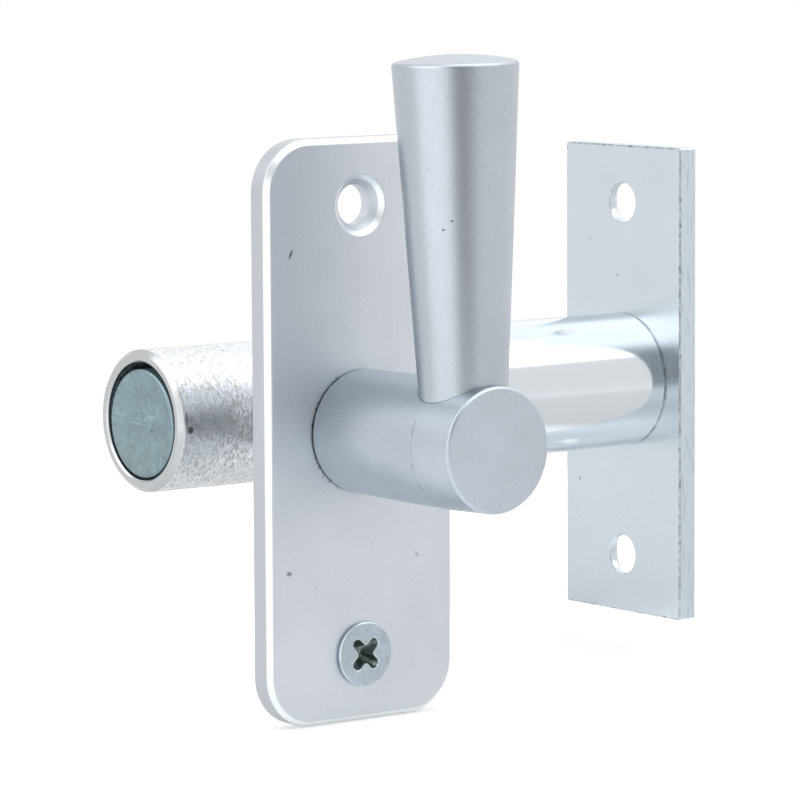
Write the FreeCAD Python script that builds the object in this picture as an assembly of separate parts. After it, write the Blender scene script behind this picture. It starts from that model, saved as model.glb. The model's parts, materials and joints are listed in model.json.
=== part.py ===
import FreeCAD, Part
import math
import os

# Mortise bolt with a turning lever, in millimetres.
# X runs along the bolt and points out of the door's edge. -Y points out of the door's face,
# towards the lever. Z is up. The origin is the middle of the forend plate's back face, which
# seats on the door's edge.
# At rest the lever stands up and the bolt is drawn in. Half a turn throws the bolt along +X.

# Layout
backset = 88.0               # forend's back face to the axis that the lever turns on
face_offset = 35.8           # bolt's axis to the front plate's front face
handle_lean = 1.5            # degrees that the lever leans away from the forend at rest

# Fits and gaps
running_gap = 0.04           # radial, a shaft turning in its bush
seat_gap = 0.02              # radial, a piece pressed or screwed into another
side_gap = 0.3               # between faces that turn or slide past each other
end_gap = 0.3                # left at the end of a socket or a slot

# Forend plate on the door's edge
forend_height = 88.0
forend_width = 33.0
forend_thickness = 4.0
forend_edge_break = 0.3
forend_screw_inset = 10.75   # forend's end to the screw's axis
forend_hole_d = 7.4
forend_sink_d = 12.6

# Mortise tube
tube_d = 25.0
tube_wall = 2.15
tube_end_chamfer = 0.9
tube_bore_chamfer = 0.35
tube_step = 1.0              # radial, down to the turned end that is pressed into the forend

# Bolt
bolt_play = 0.85             # radial, the bolt's room in the tube
bolt_under_gap = 0.4         # of that room, what is left below the bolt as it lies low
bolt_tail_chamfer = 0.5
bolt_nose_chamfer = 1.2
bolt_inset = 0.25            # bolt's ends stand this much inside the tube and the forend
bolt_end_wall = 3.28         # left between the bolt's tail and the pinion's pocket

# Rack and pinion
tooth_module = 1.0
pinion_teeth = 8
pressure_angle = 28.0        # degrees
tooth_addendum = 0.8
tooth_dedendum = 1.05
tooth_backlash = 0.2
lever_turn = 180.0           # degrees from drawn to thrown
pocket_back = 4.5            # bolt's axis to the pocket's back wall
pocket_gap = 0.5             # round the pinion's teeth
journal_over_teeth = 0.2     # radial, so that the pinion goes in through its bush
rear_journal_d = 4.0

# Bushes in the tube's wall
bush_collar_wall = 3.0       # radial, round the pinion's thick journal
bush_length = 6.7            # standing out of the tube
bush_neck = 0.5              # of that length, what is no wider than the hole in the tube
bush_flare = 2.5             # from the neck to the collar's full width
bush_spigot_wall = 1.3
bush_inner_gap = 0.8         # bush's inner end to the bolt
rear_bush_wall = 1.5
ring_thickness = 0.8
ring_depth = 1.1             # bush's mouth to the ring that keeps the pinion in
ring_groove = 0.65
ring_width = 1.4
ring_mouth = 50.0            # degrees that the split ring is open

# Square spindle
spindle_side = 5.0
socket_play = 0.1            # socket's side over the spindle's
socket_wall = 1.6            # left in the pinion between its socket and its teeth
spindle_chamfer = 0.5

# Front plate on the door's face
plate_height = 100.0
plate_width = 39.5
plate_thickness = 4.5
plate_corner_r = 9.0
plate_chamfer = 1.0
plate_screw_inset = 11.5     # plate's end to the screw's axis
plate_hole_play = 0.9        # hole's diameter over the screw's
plate_sink_d = 10.7

# Pieces in the front plate's recess, their widths measured out from the hub's spigot
recess_width = 4.5
plate_bush_wall = 1.5
plate_bush_width = 4.0
plate_bush_flange = 0.5
spring_width = 3.0
spring_sheet = 0.4
spring_height = 0.7
washer_width = 2.8
washer_thickness = 0.4
clip_width = 2.2
clip_sunk = 0.25             # below the front plate's back
clip_thickness = 1.0
clip_groove = 0.4
clip_play = 0.05
clip_mouth = 70.0            # degrees
clip_lug_r = 1.6
clip_eye_d = 1.6

# Hub
hub_base_d = 21.1
hub_waist_d = 21.7
hub_end_d = 21.2
hub_length = 37.5            # front plate's face to the hub's end
hub_flare = 20.0             # front plate's face to where the flare ends
hub_flare_rise = 0.75        # share of the flare that is reached half way
hub_seam_inset = 9.7         # hub's end to the fine turned line
hub_seam_depth = 0.12
hub_seam_half = 0.15
hub_chamfer = 0.4
hub_spigot_d = 12.0
hub_spigot_out = 0.3         # spigot's end past the front plate's back
hub_wall = 4.3               # hub's end to the bottom of its socket

# Lever
lever_inset = 9.1            # hub's end to the lever's axis
lever_foot_d = 15.1          # where it leaves the hub
lever_tip_d = 21.1
lever_length = 63.6          # turning axis to the rim of the lever's top
lever_crown = 1.2
lever_edge_r = 0.8
stud_d = 6.0
stud_depth = 12.0            # in the lever
stud_chamfer = 0.6

# Countersunk screw in the front plate's lower hole
screw_head_d = 11.06
screw_head_rim = 0.7
screw_shank_d = 6.0
screw_length = 25.0
screw_tip_chamfer = 1.2
recess_span = 7.0
recess_floor_span = 2.6
recess_wing = 1.25
recess_floor_wing = 0.8
cross_depth = 3.2
cross_turn = 45.0            # degrees that the cross is turned
cross_core_d = 3.2

# Worked out from the sizes above
axis_x = -backset
forend_front_x = forend_thickness
nose_x = forend_front_x - bolt_inset
plate_front_y = -face_offset
plate_back_y = plate_front_y + plate_thickness
pitch_r = tooth_module * pinion_teeth / 2
tip_r = pitch_r + tooth_addendum
root_r = pitch_r - tooth_dedendum
throw = pitch_r * math.radians(lever_turn)
pocket_x = axis_x - throw - tip_r - pocket_gap
bolt_tail_x = pocket_x - bolt_end_wall
tube_end_x = bolt_tail_x - bolt_inset
tube_r = tube_d / 2
bore_r = tube_r - tube_wall
spigot_r = tube_r - tube_step
bolt_r = bore_r - bolt_play
bolt_z = bolt_under_gap - bolt_play
front_journal_r = tip_r + journal_over_teeth
rear_journal_r = rear_journal_d / 2
bush_inner_y = -(bolt_r + bush_inner_gap)
bush_mouth_y = -(tube_r + bush_length)
bush_spigot_r = front_journal_r + bush_spigot_wall
rear_bush_r = rear_journal_r + rear_bush_wall
journal_inner_y = -bolt_r - 2 * seat_gap
journal_mouth_y = bush_mouth_y + ring_depth + ring_thickness + side_gap / 2
socket_floor_y = journal_inner_y - socket_wall
clip_y = plate_back_y - clip_sunk - clip_thickness
washer_y = clip_y - clip_play - washer_thickness
spring_y = washer_y - spring_height
recess_floor_y = spring_y - plate_bush_flange
hub_spigot_r = hub_spigot_d / 2
plate_bore_r = hub_spigot_r + plate_bush_wall
clip_r = hub_spigot_r + clip_width
hub_base_y = plate_front_y - side_gap
hub_end_y = plate_front_y - hub_length
hub_spigot_y = plate_back_y + hub_spigot_out
spindle_front_y = hub_end_y + hub_wall + end_gap
lever_y = hub_end_y + lever_inset
plate_hole_r = (screw_shank_d + plate_hole_play) / 2
plate_screw_z = plate_height / 2 - plate_screw_inset
forend_screw_z = forend_height / 2 - forend_screw_inset

X_AXIS = FreeCAD.Vector(1, 0, 0)
Y_AXIS = FreeCAD.Vector(0, 1, 0)
Z_AXIS = FreeCAD.Vector(0, 0, 1)


def point(x, y, z):
    """A point in the part's frame."""
    return FreeCAD.Vector(x, y, z)


def rod(radius, start, length, axis):
    """A plain cylinder from its start point along an axis."""
    return Part.makeCylinder(radius, length, start, axis)


def along_x(radius, x0, x1, y=0.0, z=0.0):
    """A cylinder parallel to X between two X values."""
    return rod(radius, point(x0, y, z), x1 - x0, X_AXIS)


def along_y(radius, y0, y1, x=axis_x, z=0.0):
    """A cylinder parallel to Y between two Y values, on the turning axis unless told."""
    return rod(radius, point(x, y0, z), y1 - y0, Y_AXIS)


def turned(outline, origin, axis, across):
    """Turn an outline of (along, radius) points about an axis through the origin."""
    corners = [origin + axis * along + across * radius for along, radius in outline]
    wire = Part.makePolygon(corners + corners[:1])
    return Part.Face(wire).revolve(origin, axis, 360)


def leaned(shape):
    """Turn a piece of the handle to where the handle rests."""
    shape.rotate(point(axis_x, 0, 0), Y_AXIS, -handle_lean)
    return shape


def block(x0, x1, y0, y1, z0, z1):
    """A box between two corners."""
    return Part.makeBox(x1 - x0, y1 - y0, z1 - z0, point(x0, y0, z0))


def square_bar(side, y0, y1):
    """A square bar on the turning axis, at the handle's lean."""
    half = side / 2
    return leaned(block(axis_x - half, axis_x + half, y0, y1, -half, half))


def countersink(mouth_d, hole_d, start, axis):
    """A right-angled cone that opens a hole from its mouth."""
    depth = (mouth_d - hole_d) / 2
    return Part.makeCone(mouth_d / 2, hole_d / 2, depth, start, axis)


def split_ring(outer_r, inner_r, y0, thickness, mouth, turn):
    """A flat ring on the turning axis with an open mouth, turned about its axis."""
    ring = along_y(outer_r, y0, y0 + thickness).cut(along_y(inner_r, y0, y0 + thickness))
    reach = outer_r * 2
    half = math.radians(mouth / 2)
    corners = [
        point(axis_x, y0, 0),
        point(axis_x + reach * math.sin(half), y0, -reach * math.cos(half)),
        point(axis_x - reach * math.sin(half), y0, -reach * math.cos(half)),
    ]
    wedge = Part.Face(Part.makePolygon(corners + corners[:1])).extrude(Y_AXIS * thickness)
    ring = ring.cut(wedge)
    ring.rotate(point(axis_x, 0, 0), Y_AXIS, turn)
    return ring


def make_forend_plate():
    """Rectangular plate with two holes countersunk from outside and the tube's hole."""
    half_w = forend_width / 2
    half_h = forend_height / 2
    plate = block(0, forend_front_x, -half_w, half_w, -half_h, half_h)
    plate = plate.makeChamfer(forend_edge_break, plate.Edges)
    plate = plate.cut(along_x(spigot_r + seat_gap, 0, forend_front_x))
    for side in (-1, 1):
        z = side * forend_screw_z
        mouth = point(forend_front_x, 0, z)
        plate = plate.cut(along_x(forend_hole_d / 2, 0, forend_front_x, z=z))
        plate = plate.cut(countersink(forend_sink_d, forend_hole_d, mouth, -X_AXIS))
    return plate


def make_mortise_tube():
    """Round case with chamfered open end and a turned end pressed into the forend."""
    outline = [
        (tube_end_x, bore_r + tube_bore_chamfer),
        (tube_end_x, tube_r - tube_end_chamfer),
        (tube_end_x + tube_end_chamfer, tube_r),
        (0, tube_r),
        (0, spigot_r),
        (nose_x, spigot_r),
        (nose_x, bore_r),
        (tube_end_x + tube_bore_chamfer, bore_r),
    ]
    tube = turned(outline, point(0, 0, 0), X_AXIS, Z_AXIS)
    tube = tube.cut(along_y(bush_spigot_r + seat_gap, -tube_d, 0))
    return tube.cut(along_y(rear_bush_r + seat_gap, 0, tube_d))


def make_spindle_bush():
    """Bush pressed into the tube's wall, which widens outside it, bored for the pinion."""
    bush_bore_r = front_journal_r + running_gap
    collar_r = front_journal_r + bush_collar_wall
    neck_y = -(tube_r + bush_neck)
    outline = [
        (bush_mouth_y, bush_bore_r),
        (bush_mouth_y, collar_r),
        (neck_y - bush_flare, collar_r),
        (neck_y, bush_spigot_r),
        (bush_inner_y, bush_spigot_r),
        (bush_inner_y, bush_bore_r),
    ]
    bush = turned(outline, point(axis_x, 0, 0), Y_AXIS, Z_AXIS)
    groove_y = bush_mouth_y + ring_depth
    groove_r = front_journal_r + ring_groove + seat_gap
    return bush.cut(along_y(groove_r, groove_y, groove_y + ring_thickness + seat_gap))


def make_pinion_ring():
    """Split ring in the bush's groove that keeps the pinion in."""
    outer_r = front_journal_r + ring_groove
    return split_ring(outer_r, outer_r - ring_width, bush_mouth_y + ring_depth,
                      ring_thickness, ring_mouth, 0)


def make_rear_bush():
    """Bush in the tube's far wall for the pinion's thin end, dressed flush outside."""
    inner_y = bolt_r + bush_inner_gap / 2
    bush = along_y(rear_bush_r, inner_y, tube_r)
    bush = bush.common(along_x(tube_r, axis_x - tube_d, axis_x + tube_d))
    return bush.cut(along_y(rear_journal_r + running_gap, inner_y, tube_r))


def involute(angle):
    """Involute function of a pressure angle in radians."""
    return math.tan(angle) - angle


def tooth_half_angle(radius):
    """Half the angle that a pinion tooth spans at a radius."""
    base_r = pitch_r * math.cos(math.radians(pressure_angle))
    here = math.acos(min(1.0, base_r / radius))
    at_pitch = (math.pi * tooth_module - tooth_backlash * 2) / (4 * pitch_r)
    return at_pitch + involute(math.radians(pressure_angle)) - involute(here)


def polar(radius, angle):
    """A point on the pinion's face, its angle measured from straight down."""
    return point(axis_x + radius * math.sin(angle), 0, -radius * math.cos(angle))


def tooth_edges(centre, pitch_angle):
    """The edges of one pinion tooth and of the root that follows it."""
    base_r = pitch_r * math.cos(math.radians(pressure_angle))
    steps = 5
    radii = [base_r + (tip_r - base_r) * i / steps for i in range(steps + 1)]
    rise = [polar(r, centre - tooth_half_angle(r)) for r in radii]
    fall = [polar(r, centre + tooth_half_angle(r)) for r in reversed(radii)]
    foot = tooth_half_angle(base_r)
    foot_in = polar(root_r, centre - foot)
    foot_out = polar(root_r, centre + foot)
    next_foot = polar(root_r, centre + pitch_angle - foot)
    up, down = Part.BSplineCurve(), Part.BSplineCurve()
    up.interpolate(rise)
    down.interpolate(fall)
    return [
        Part.makeLine(foot_in, rise[0]),
        up.toShape(),
        Part.Arc(rise[-1], polar(tip_r, centre), fall[0]).toShape(),
        down.toShape(),
        Part.makeLine(fall[-1], foot_out),
        Part.Arc(foot_out, polar(root_r, centre + pitch_angle / 2), next_foot).toShape(),
    ]


def make_pinion():
    """Pinion cut in one with its two journals, with a square socket for the spindle."""
    pitch_angle = 2 * math.pi / pinion_teeth
    edges = []
    for i in range(pinion_teeth):
        edges += tooth_edges(i * pitch_angle, pitch_angle)
    face_width = pocket_back - pocket_gap - journal_inner_y
    toothed = Part.Face(Part.Wire(edges)).extrude(Y_AXIS * face_width)
    toothed.translate(Y_AXIS * journal_inner_y)
    front = along_y(front_journal_r, journal_mouth_y, journal_inner_y)
    rear = along_y(rear_journal_r, 0, tube_r - side_gap)
    pinion = toothed.fuse([front, rear])
    return pinion.cut(square_bar(spindle_side + socket_play, journal_mouth_y, socket_floor_y))


def rack_pocket():
    """The pinion's pocket in the bolt, with the rack standing up from its floor."""
    x1 = axis_x + tip_r + pocket_gap
    top = tip_r + pocket_gap
    floor = -(pitch_r + tooth_dedendum)
    crest = -(pitch_r - tooth_addendum)
    pitch = math.pi * tooth_module
    slope = math.tan(math.radians(pressure_angle))
    crest_half = pitch / 4 - tooth_addendum * slope
    foot_half = pitch / 4 + tooth_dedendum * slope
    outline = [(pocket_x, top), (pocket_x, floor)]
    teeth = int(throw / pitch) + 2
    for i in range(teeth):
        middle = axis_x + pitch * (1.5 - teeth + i)
        outline += [(middle - foot_half, floor), (middle - crest_half, crest),
                    (middle + crest_half, crest), (middle + foot_half, floor)]
    outline += [(x1, floor), (x1, top)]
    corners = [point(x, -tube_r, z) for x, z in outline]
    face = Part.Face(Part.makePolygon(corners + corners[:1]))
    return face.extrude(Y_AXIS * (tube_r + pocket_back))


def rear_slot():
    """Slot in the bolt's far wall that runs past the pinion's thin end and stops it."""
    half = rear_journal_r + side_gap
    x0 = axis_x - throw
    slot = block(x0, axis_x, 0, tube_r, -half, half)
    return slot.fuse([along_y(half, 0, tube_r, x=x0), along_y(half, 0, tube_r)])


def make_bolt():
    """Round bolt with a chamfered nose, cut for the pinion and its thin end."""
    outline = [
        (bolt_tail_x, 0),
        (bolt_tail_x, bolt_r - bolt_tail_chamfer),
        (bolt_tail_x + bolt_tail_chamfer, bolt_r),
        (nose_x - bolt_nose_chamfer, bolt_r),
        (nose_x, bolt_r - bolt_nose_chamfer),
        (nose_x, 0),
    ]
    bolt = turned(outline, point(0, 0, bolt_z), X_AXIS, Z_AXIS)
    return bolt.cut(rack_pocket()).cut(rear_slot())


def make_spindle():
    """Square bar from the pinion's socket to the hub's socket, its ends chamfered."""
    half = spindle_side / 2
    end = point(axis_x, socket_floor_y - end_gap, 0)
    bar = block(axis_x - half, axis_x + half, spindle_front_y, end.y, -half, half)
    ends = [e for e in bar.Edges if abs(e.Vertexes[0].Y - e.Vertexes[-1].Y) < half]
    return leaned(bar.makeChamfer(spindle_chamfer, ends))


def make_front_plate():
    """Round-cornered plate, chamfered in front, recessed behind for the hub's fixing."""
    half_w = plate_width / 2
    half_h = plate_height / 2
    plate = block(axis_x - half_w, axis_x + half_w, plate_front_y, plate_back_y, -half_h, half_h)
    corners = [e for e in plate.Edges if e.BoundBox.YLength > plate_thickness / 2]
    plate = plate.makeFillet(plate_corner_r, corners)
    front = [f for f in plate.Faces if f.CenterOfMass.y < plate_front_y + plate_thickness / 100]
    plate = plate.makeChamfer(plate_chamfer, front[0].Edges)
    plate = plate.cut(along_y(plate_bore_r, plate_front_y, plate_back_y))
    plate = plate.cut(along_y(hub_spigot_r + recess_width, recess_floor_y, plate_back_y))
    for side in (-1, 1):
        z = side * plate_screw_z
        mouth = point(axis_x, plate_front_y, z)
        plate = plate.cut(along_y(plate_hole_r, plate_front_y, plate_back_y, z=z))
        plate = plate.cut(countersink(plate_sink_d, plate_hole_r * 2, mouth, Y_AXIS))
    return plate


def make_plate_bush():
    """Flanged bearing ring in the front plate, put in from behind."""
    sleeve = along_y(plate_bore_r - seat_gap, plate_front_y, recess_floor_y)
    flange = along_y(hub_spigot_r + plate_bush_width, recess_floor_y, spring_y)
    bush = sleeve.fuse(flange)
    return bush.cut(along_y(hub_spigot_r + running_gap, plate_front_y, spring_y))


def make_disc_spring():
    """Coned spring washer that keeps the handle from turning by itself."""
    inner_r = hub_spigot_r + running_gap * 2
    outer_r = hub_spigot_r + spring_width
    cone = spring_height - spring_sheet
    outline = [(0, outer_r), (spring_sheet, outer_r),
               (spring_height, inner_r), (cone, inner_r)]
    return turned(outline, point(axis_x, spring_y, 0), Y_AXIS, Z_AXIS)


def make_thrust_washer():
    """Flat washer between the disc spring and the retaining ring."""
    washer = along_y(hub_spigot_r + washer_width, washer_y, washer_y + washer_thickness)
    return washer.cut(along_y(hub_spigot_r + running_gap * 2, washer_y, clip_y))


def make_retaining_ring():
    """Split ring with two eyed lugs in the groove of the hub's spigot."""
    inner_r = hub_spigot_r - clip_groove + seat_gap
    ring = split_ring(clip_r, inner_r, clip_y, clip_thickness, clip_mouth, 0)
    lug_angle = math.radians(clip_mouth / 2)
    lug_place = clip_r - clip_lug_r / 2
    for side in (-1, 1):
        x = axis_x + side * lug_place * math.sin(lug_angle)
        z = -lug_place * math.cos(lug_angle)
        lug = along_y(clip_lug_r, clip_y, clip_y + clip_thickness, x=x, z=z)
        lug = lug.cut(along_y(hub_spigot_r + side_gap, clip_y, clip_y + clip_thickness))
        ring = ring.fuse(lug)
        ring = ring.cut(along_y(clip_eye_d / 2, clip_y, clip_y + clip_thickness, x=x, z=z))
    return leaned(ring)


def hub_blank():
    """The hub's outside, flared from the plate, with a fine line at its seam."""
    base_r = hub_base_d / 2
    waist_r = hub_waist_d / 2
    end_r = hub_end_d / 2
    flare_y = plate_front_y - hub_flare
    seam_y = hub_end_y + hub_seam_inset
    middle_y = (hub_base_y + flare_y) / 2
    middle_r = base_r + (waist_r - base_r) * hub_flare_rise

    def at(y, radius):
        return point(axis_x, y, radius)

    flare = Part.Arc(at(hub_base_y, base_r), at(middle_y, middle_r), at(flare_y, waist_r)).toShape()
    rest = Part.makePolygon([
        at(flare_y, waist_r),
        at(seam_y + hub_seam_half, waist_r),
        at(seam_y, waist_r - hub_seam_depth),
        at(seam_y - hub_seam_half, waist_r),
        at(hub_end_y + hub_chamfer, end_r),
        at(hub_end_y, end_r - hub_chamfer),
        at(hub_end_y, 0),
        at(hub_base_y, 0),
        at(hub_base_y, base_r),
    ])
    wire = Part.Wire([flare] + rest.Edges)
    return Part.Face(wire).revolve(point(axis_x, 0, 0), Y_AXIS, 360)


def make_hub():
    """Turned hub with a grooved spigot, a square socket and the stud's hole."""
    spigot = along_y(hub_spigot_r, hub_base_y, hub_spigot_y)
    groove_y1 = clip_y + clip_thickness + clip_play
    groove = along_y(hub_spigot_d, clip_y - clip_play, groove_y1)
    groove = groove.cut(along_y(hub_spigot_r - clip_groove, clip_y - clip_play, groove_y1))
    hub = hub_blank().fuse(spigot).cut(groove)
    hub = leaned(hub)
    hub = hub.cut(square_bar(spindle_side + socket_play, hub_end_y + hub_wall, hub_spigot_y))
    stud_hole = rod(stud_d / 2 + seat_gap, point(axis_x, lever_y, 0), hub_waist_d, Z_AXIS)
    return hub.cut(leaned(stud_hole))


def make_lever():
    """Tapered round lever, crowned on top, its foot cut to sit on the hub."""
    foot_r = lever_foot_d / 2
    tip_radius = lever_tip_d / 2
    foot_z = hub_waist_d / 2
    taper = (tip_radius - foot_r) / (lever_length - foot_z)
    start_z = foot_z / 2
    start_r = foot_r - taper * (foot_z - start_z)

    def at(z, radius):
        return point(axis_x + radius, lever_y, z)

    side = Part.makePolygon([at(start_z, 0), at(start_z, start_r), at(lever_length, tip_radius)])
    crown_top = lever_length + lever_crown
    crown_mid_r = tip_radius / 2
    crown_mid_z = crown_top - lever_crown * (crown_mid_r / tip_radius) ** 2
    crown = Part.Arc(at(lever_length, tip_radius), at(crown_mid_z, crown_mid_r), at(crown_top, 0))
    back = Part.makeLine(at(crown_top, 0), at(start_z, 0))
    wire = Part.Wire(side.Edges + [crown.toShape(), back])
    lever = Part.Face(wire).revolve(point(axis_x, lever_y, 0), Z_AXIS, 360)
    rim = [e for e in lever.Edges
           if e.BoundBox.ZMin > lever_length - seat_gap and e.BoundBox.XLength > tip_radius]
    lever = lever.makeFillet(lever_edge_r, rim)
    stud_hole = rod(stud_d / 2 + seat_gap, point(axis_x, lever_y, 0), foot_z + stud_depth, Z_AXIS)
    return leaned(lever.cut(stud_hole)).cut(leaned(hub_blank()))


def make_lever_stud():
    """Headless stud that holds the lever on the hub and bears on the spindle."""
    radius = stud_d / 2
    foot_z = spindle_side / 2
    top_z = hub_waist_d / 2 + stud_depth - end_gap
    outline = [(foot_z, 0), (foot_z, radius - stud_chamfer), (foot_z + stud_chamfer, radius),
               (top_z - stud_chamfer, radius), (top_z, radius - stud_chamfer), (top_z, 0)]
    return leaned(turned(outline, point(axis_x, lever_y, 0), Z_AXIS, X_AXIS))


def recess_bar(top_y):
    """One bar of the cross recess: a wedge that narrows towards its floor."""
    def ring_of(span, wing, y):
        half_span, half_wing = span / 2, wing / 2
        corners = [point(axis_x + sx * half_span, y, -plate_screw_z + sz * half_wing)
                   for sx, sz in ((-1, -1), (1, -1), (1, 1), (-1, 1))]
        return Part.makePolygon(corners + corners[:1])

    top = ring_of(recess_span, recess_wing, top_y)
    floor = ring_of(recess_floor_span, recess_floor_wing, top_y + cross_depth)
    return Part.makeLoft([top, floor], True, True)


def make_plate_screw():
    """Countersunk screw with a cross recess, standing a little proud of its hole."""
    head_r = screw_head_d / 2
    shank_r = screw_shank_d / 2
    seat_y = plate_front_y - (screw_head_d - plate_sink_d) / 2
    top_y = seat_y - screw_head_rim
    tip_y = top_y + screw_length
    outline = [
        (top_y, 0), (top_y, head_r), (seat_y, head_r),
        (seat_y + head_r - shank_r, shank_r),
        (tip_y - screw_tip_chamfer, shank_r), (tip_y, shank_r - screw_tip_chamfer), (tip_y, 0),
    ]
    centre = point(axis_x, 0, -plate_screw_z)
    screw = turned(outline, centre, Y_AXIS, Z_AXIS)
    core = Part.makeCone(cross_core_d / 2, recess_floor_span / 2, cross_depth,
                         point(axis_x, top_y, -plate_screw_z), Y_AXIS)
    for turn in (cross_turn, cross_turn + 90):
        bar = recess_bar(top_y)
        bar.rotate(centre, Y_AXIS, turn)
        core = core.fuse(bar)
    return screw.cut(core)


NODES = {
    "forend_plate": make_forend_plate,
    "mortise_tube": make_mortise_tube,
    "spindle_bush": make_spindle_bush,
    "pinion_ring": make_pinion_ring,
    "rear_bush": make_rear_bush,
    "bolt": make_bolt,
    "pinion": make_pinion,
    "spindle": make_spindle,
    "front_plate": make_front_plate,
    "plate_bush": make_plate_bush,
    "disc_spring": make_disc_spring,
    "thrust_washer": make_thrust_washer,
    "retaining_ring": make_retaining_ring,
    "hub": make_hub,
    "lever": make_lever,
    "lever_stud": make_lever_stud,
    "plate_screw": make_plate_screw,
}


def main():
    """Build each piece and write it to its own file."""
    os.makedirs("parts", exist_ok=True)
    for name, make in NODES.items():
        shape = make()
        solids = shape.Solids
        print(name, len(solids), "solid", round(shape.Volume, 1), "mm3", shape.isValid())
        if len(solids) == 1:
            shape = solids[0]
        shape.exportStep(f"parts/{name}.step")


main()
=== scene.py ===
import json
import logging
import math
from collections.abc import Iterable, Sequence
from dataclasses import dataclass
from enum import Enum

import bmesh
import bpy
from mathutils import Matrix, Vector

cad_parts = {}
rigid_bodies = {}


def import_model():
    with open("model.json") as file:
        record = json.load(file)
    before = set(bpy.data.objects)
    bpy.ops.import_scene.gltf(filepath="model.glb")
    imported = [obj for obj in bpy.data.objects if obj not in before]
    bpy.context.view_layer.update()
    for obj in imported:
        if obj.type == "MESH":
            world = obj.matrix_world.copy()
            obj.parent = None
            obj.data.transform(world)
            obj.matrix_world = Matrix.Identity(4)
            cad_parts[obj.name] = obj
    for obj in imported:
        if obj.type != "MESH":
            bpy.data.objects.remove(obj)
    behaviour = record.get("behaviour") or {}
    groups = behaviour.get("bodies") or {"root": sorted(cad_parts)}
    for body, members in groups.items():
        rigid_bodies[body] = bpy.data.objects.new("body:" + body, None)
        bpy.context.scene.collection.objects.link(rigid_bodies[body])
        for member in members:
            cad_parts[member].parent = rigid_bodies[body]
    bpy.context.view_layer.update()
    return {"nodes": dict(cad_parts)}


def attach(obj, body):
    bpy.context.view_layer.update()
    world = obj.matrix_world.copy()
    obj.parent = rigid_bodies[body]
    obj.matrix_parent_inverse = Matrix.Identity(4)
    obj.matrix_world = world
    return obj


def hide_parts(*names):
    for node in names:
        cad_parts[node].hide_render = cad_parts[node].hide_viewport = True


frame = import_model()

# Looks for the mortise bolt. Sizes are in millimetres, in the part's own frame: X runs along the
# bolt and out of the door's edge, -Y out of the door's face towards the lever, Z up. Every piece
# is built in millimetres and scaled to metres when it is set in place.

MM = 0.001
PAST = 1.0  # how far a cutter reaches past the face that it cuts
THREAD_STEPS = 28  # straight steps in one turn of a thread
RIDGE_CORNERS = 4  # a thread's ridge is a square on its corner
MERGE, THINNEST = 0.0004, 0.0002  # points this near are one, and edges this short go
LEAST_R = 0.02  # the smallest radius of a plate's corner
BEVELLED_SHARP = 60.0  # degrees past which an edge of a bevelled piece is still sharp
Triple = tuple[float, float, float]
Rgba = tuple[float, float, float, float]
Outline = list[tuple[float, float]]
Socket = bpy.types.NodeSocket
log = logging.getLogger("mortise_bolt")


class Body(str, Enum):
    """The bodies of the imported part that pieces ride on."""

    CASE = "case"
    HANDLE = "handle"
    BOLT = "bolt"


class Way(Enum):
    """How a piece's own axes lie in the part's frame, as columns for its x, y and z."""

    ALONG_X = ((0, 1, 0), (0, 0, 1), (1, 0, 0))
    ALONG_Y = ((0, 0, 1), (1, 0, 0), (0, 1, 0))
    ALONG_Z = ((1, 0, 0), (0, 1, 0), (0, 0, 1))
    FACE_OUT = ((1, 0, 0), (0, 0, 1), (0, -1, 0))

    def matrix(self) -> Matrix:
        """The turn as a 4x4 matrix."""
        return Matrix(self.value).transposed().to_4x4()


class Steps(Enum):
    """Straight steps round a turned piece, by how wide it is and how near to the eye."""

    SMALL = 48
    SLIM = 64
    HOLE = 96
    TURNED = 128
    WIDE = 160
    TUBE = 192


class Cut(Enum):
    """What a boolean leaves of a mesh: the rest, or what it shares with the tool."""

    AWAY = "DIFFERENCE"
    SHARED = "INTERSECT"


@dataclass(frozen=True)
class Tick:
    """A small dark mark: its middle, its half sizes, its turn about Y and how dark it is."""

    centre: Triple
    half: Triple
    turn: float = 0.0
    strength: float = 0.8


@dataclass(frozen=True)
class Layout:
    """Sizes that more than one sub-assembly shares, as the source of the part has them."""

    axis_x: float = -88.0
    plate_front_y: float = -35.8
    plate_back_y: float = -31.3
    lean: float = 1.5
    tube_r: float = 12.5
    throw: float = 4.0 * math.pi
    pinion_teeth: int = 8
    pitch_r: float = 4.0
    addendum: float = 0.8
    dedendum: float = 1.05
    pressure_angle: float = 28.0
    backlash: float = 0.2
    screw_z: float = 38.5
    stud_r: float = 3.0
    lever_y: float = -64.2
    lever_foot_r: float = 7.55
    lever_tip_r: float = 10.547
    lever_reach: float = 63.6
    hub_waist_r: float = 10.85
    seam_y: float = -63.6
    seat_gap: float = 0.02
    running_gap: float = 0.04
    socket_side: float = 5.1
    spindle_side: float = 5.0

    @property
    def lever_taper(self) -> float:
        """How much the lever's radius grows for each millimetre of its height."""
        return (self.lever_tip_r - self.lever_foot_r) / (self.lever_reach - self.hub_waist_r)

    def leaned(self) -> Matrix:
        """The handle's lean about the hub's axis.

        Returns:
            A matrix that turns an upright piece of the handle to where it rests.
        """
        centre = Matrix.Translation((self.axis_x, 0, 0))
        return centre @ Matrix.Rotation(-math.radians(self.lean), 4, "Y") @ centre.inverted()

    def on_axis(self) -> Matrix:
        """The place of a piece that is turned on the hub's axis."""
        return at(self.axis_x) @ Way.ALONG_Y.matrix()


LAYOUT = Layout()


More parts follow.
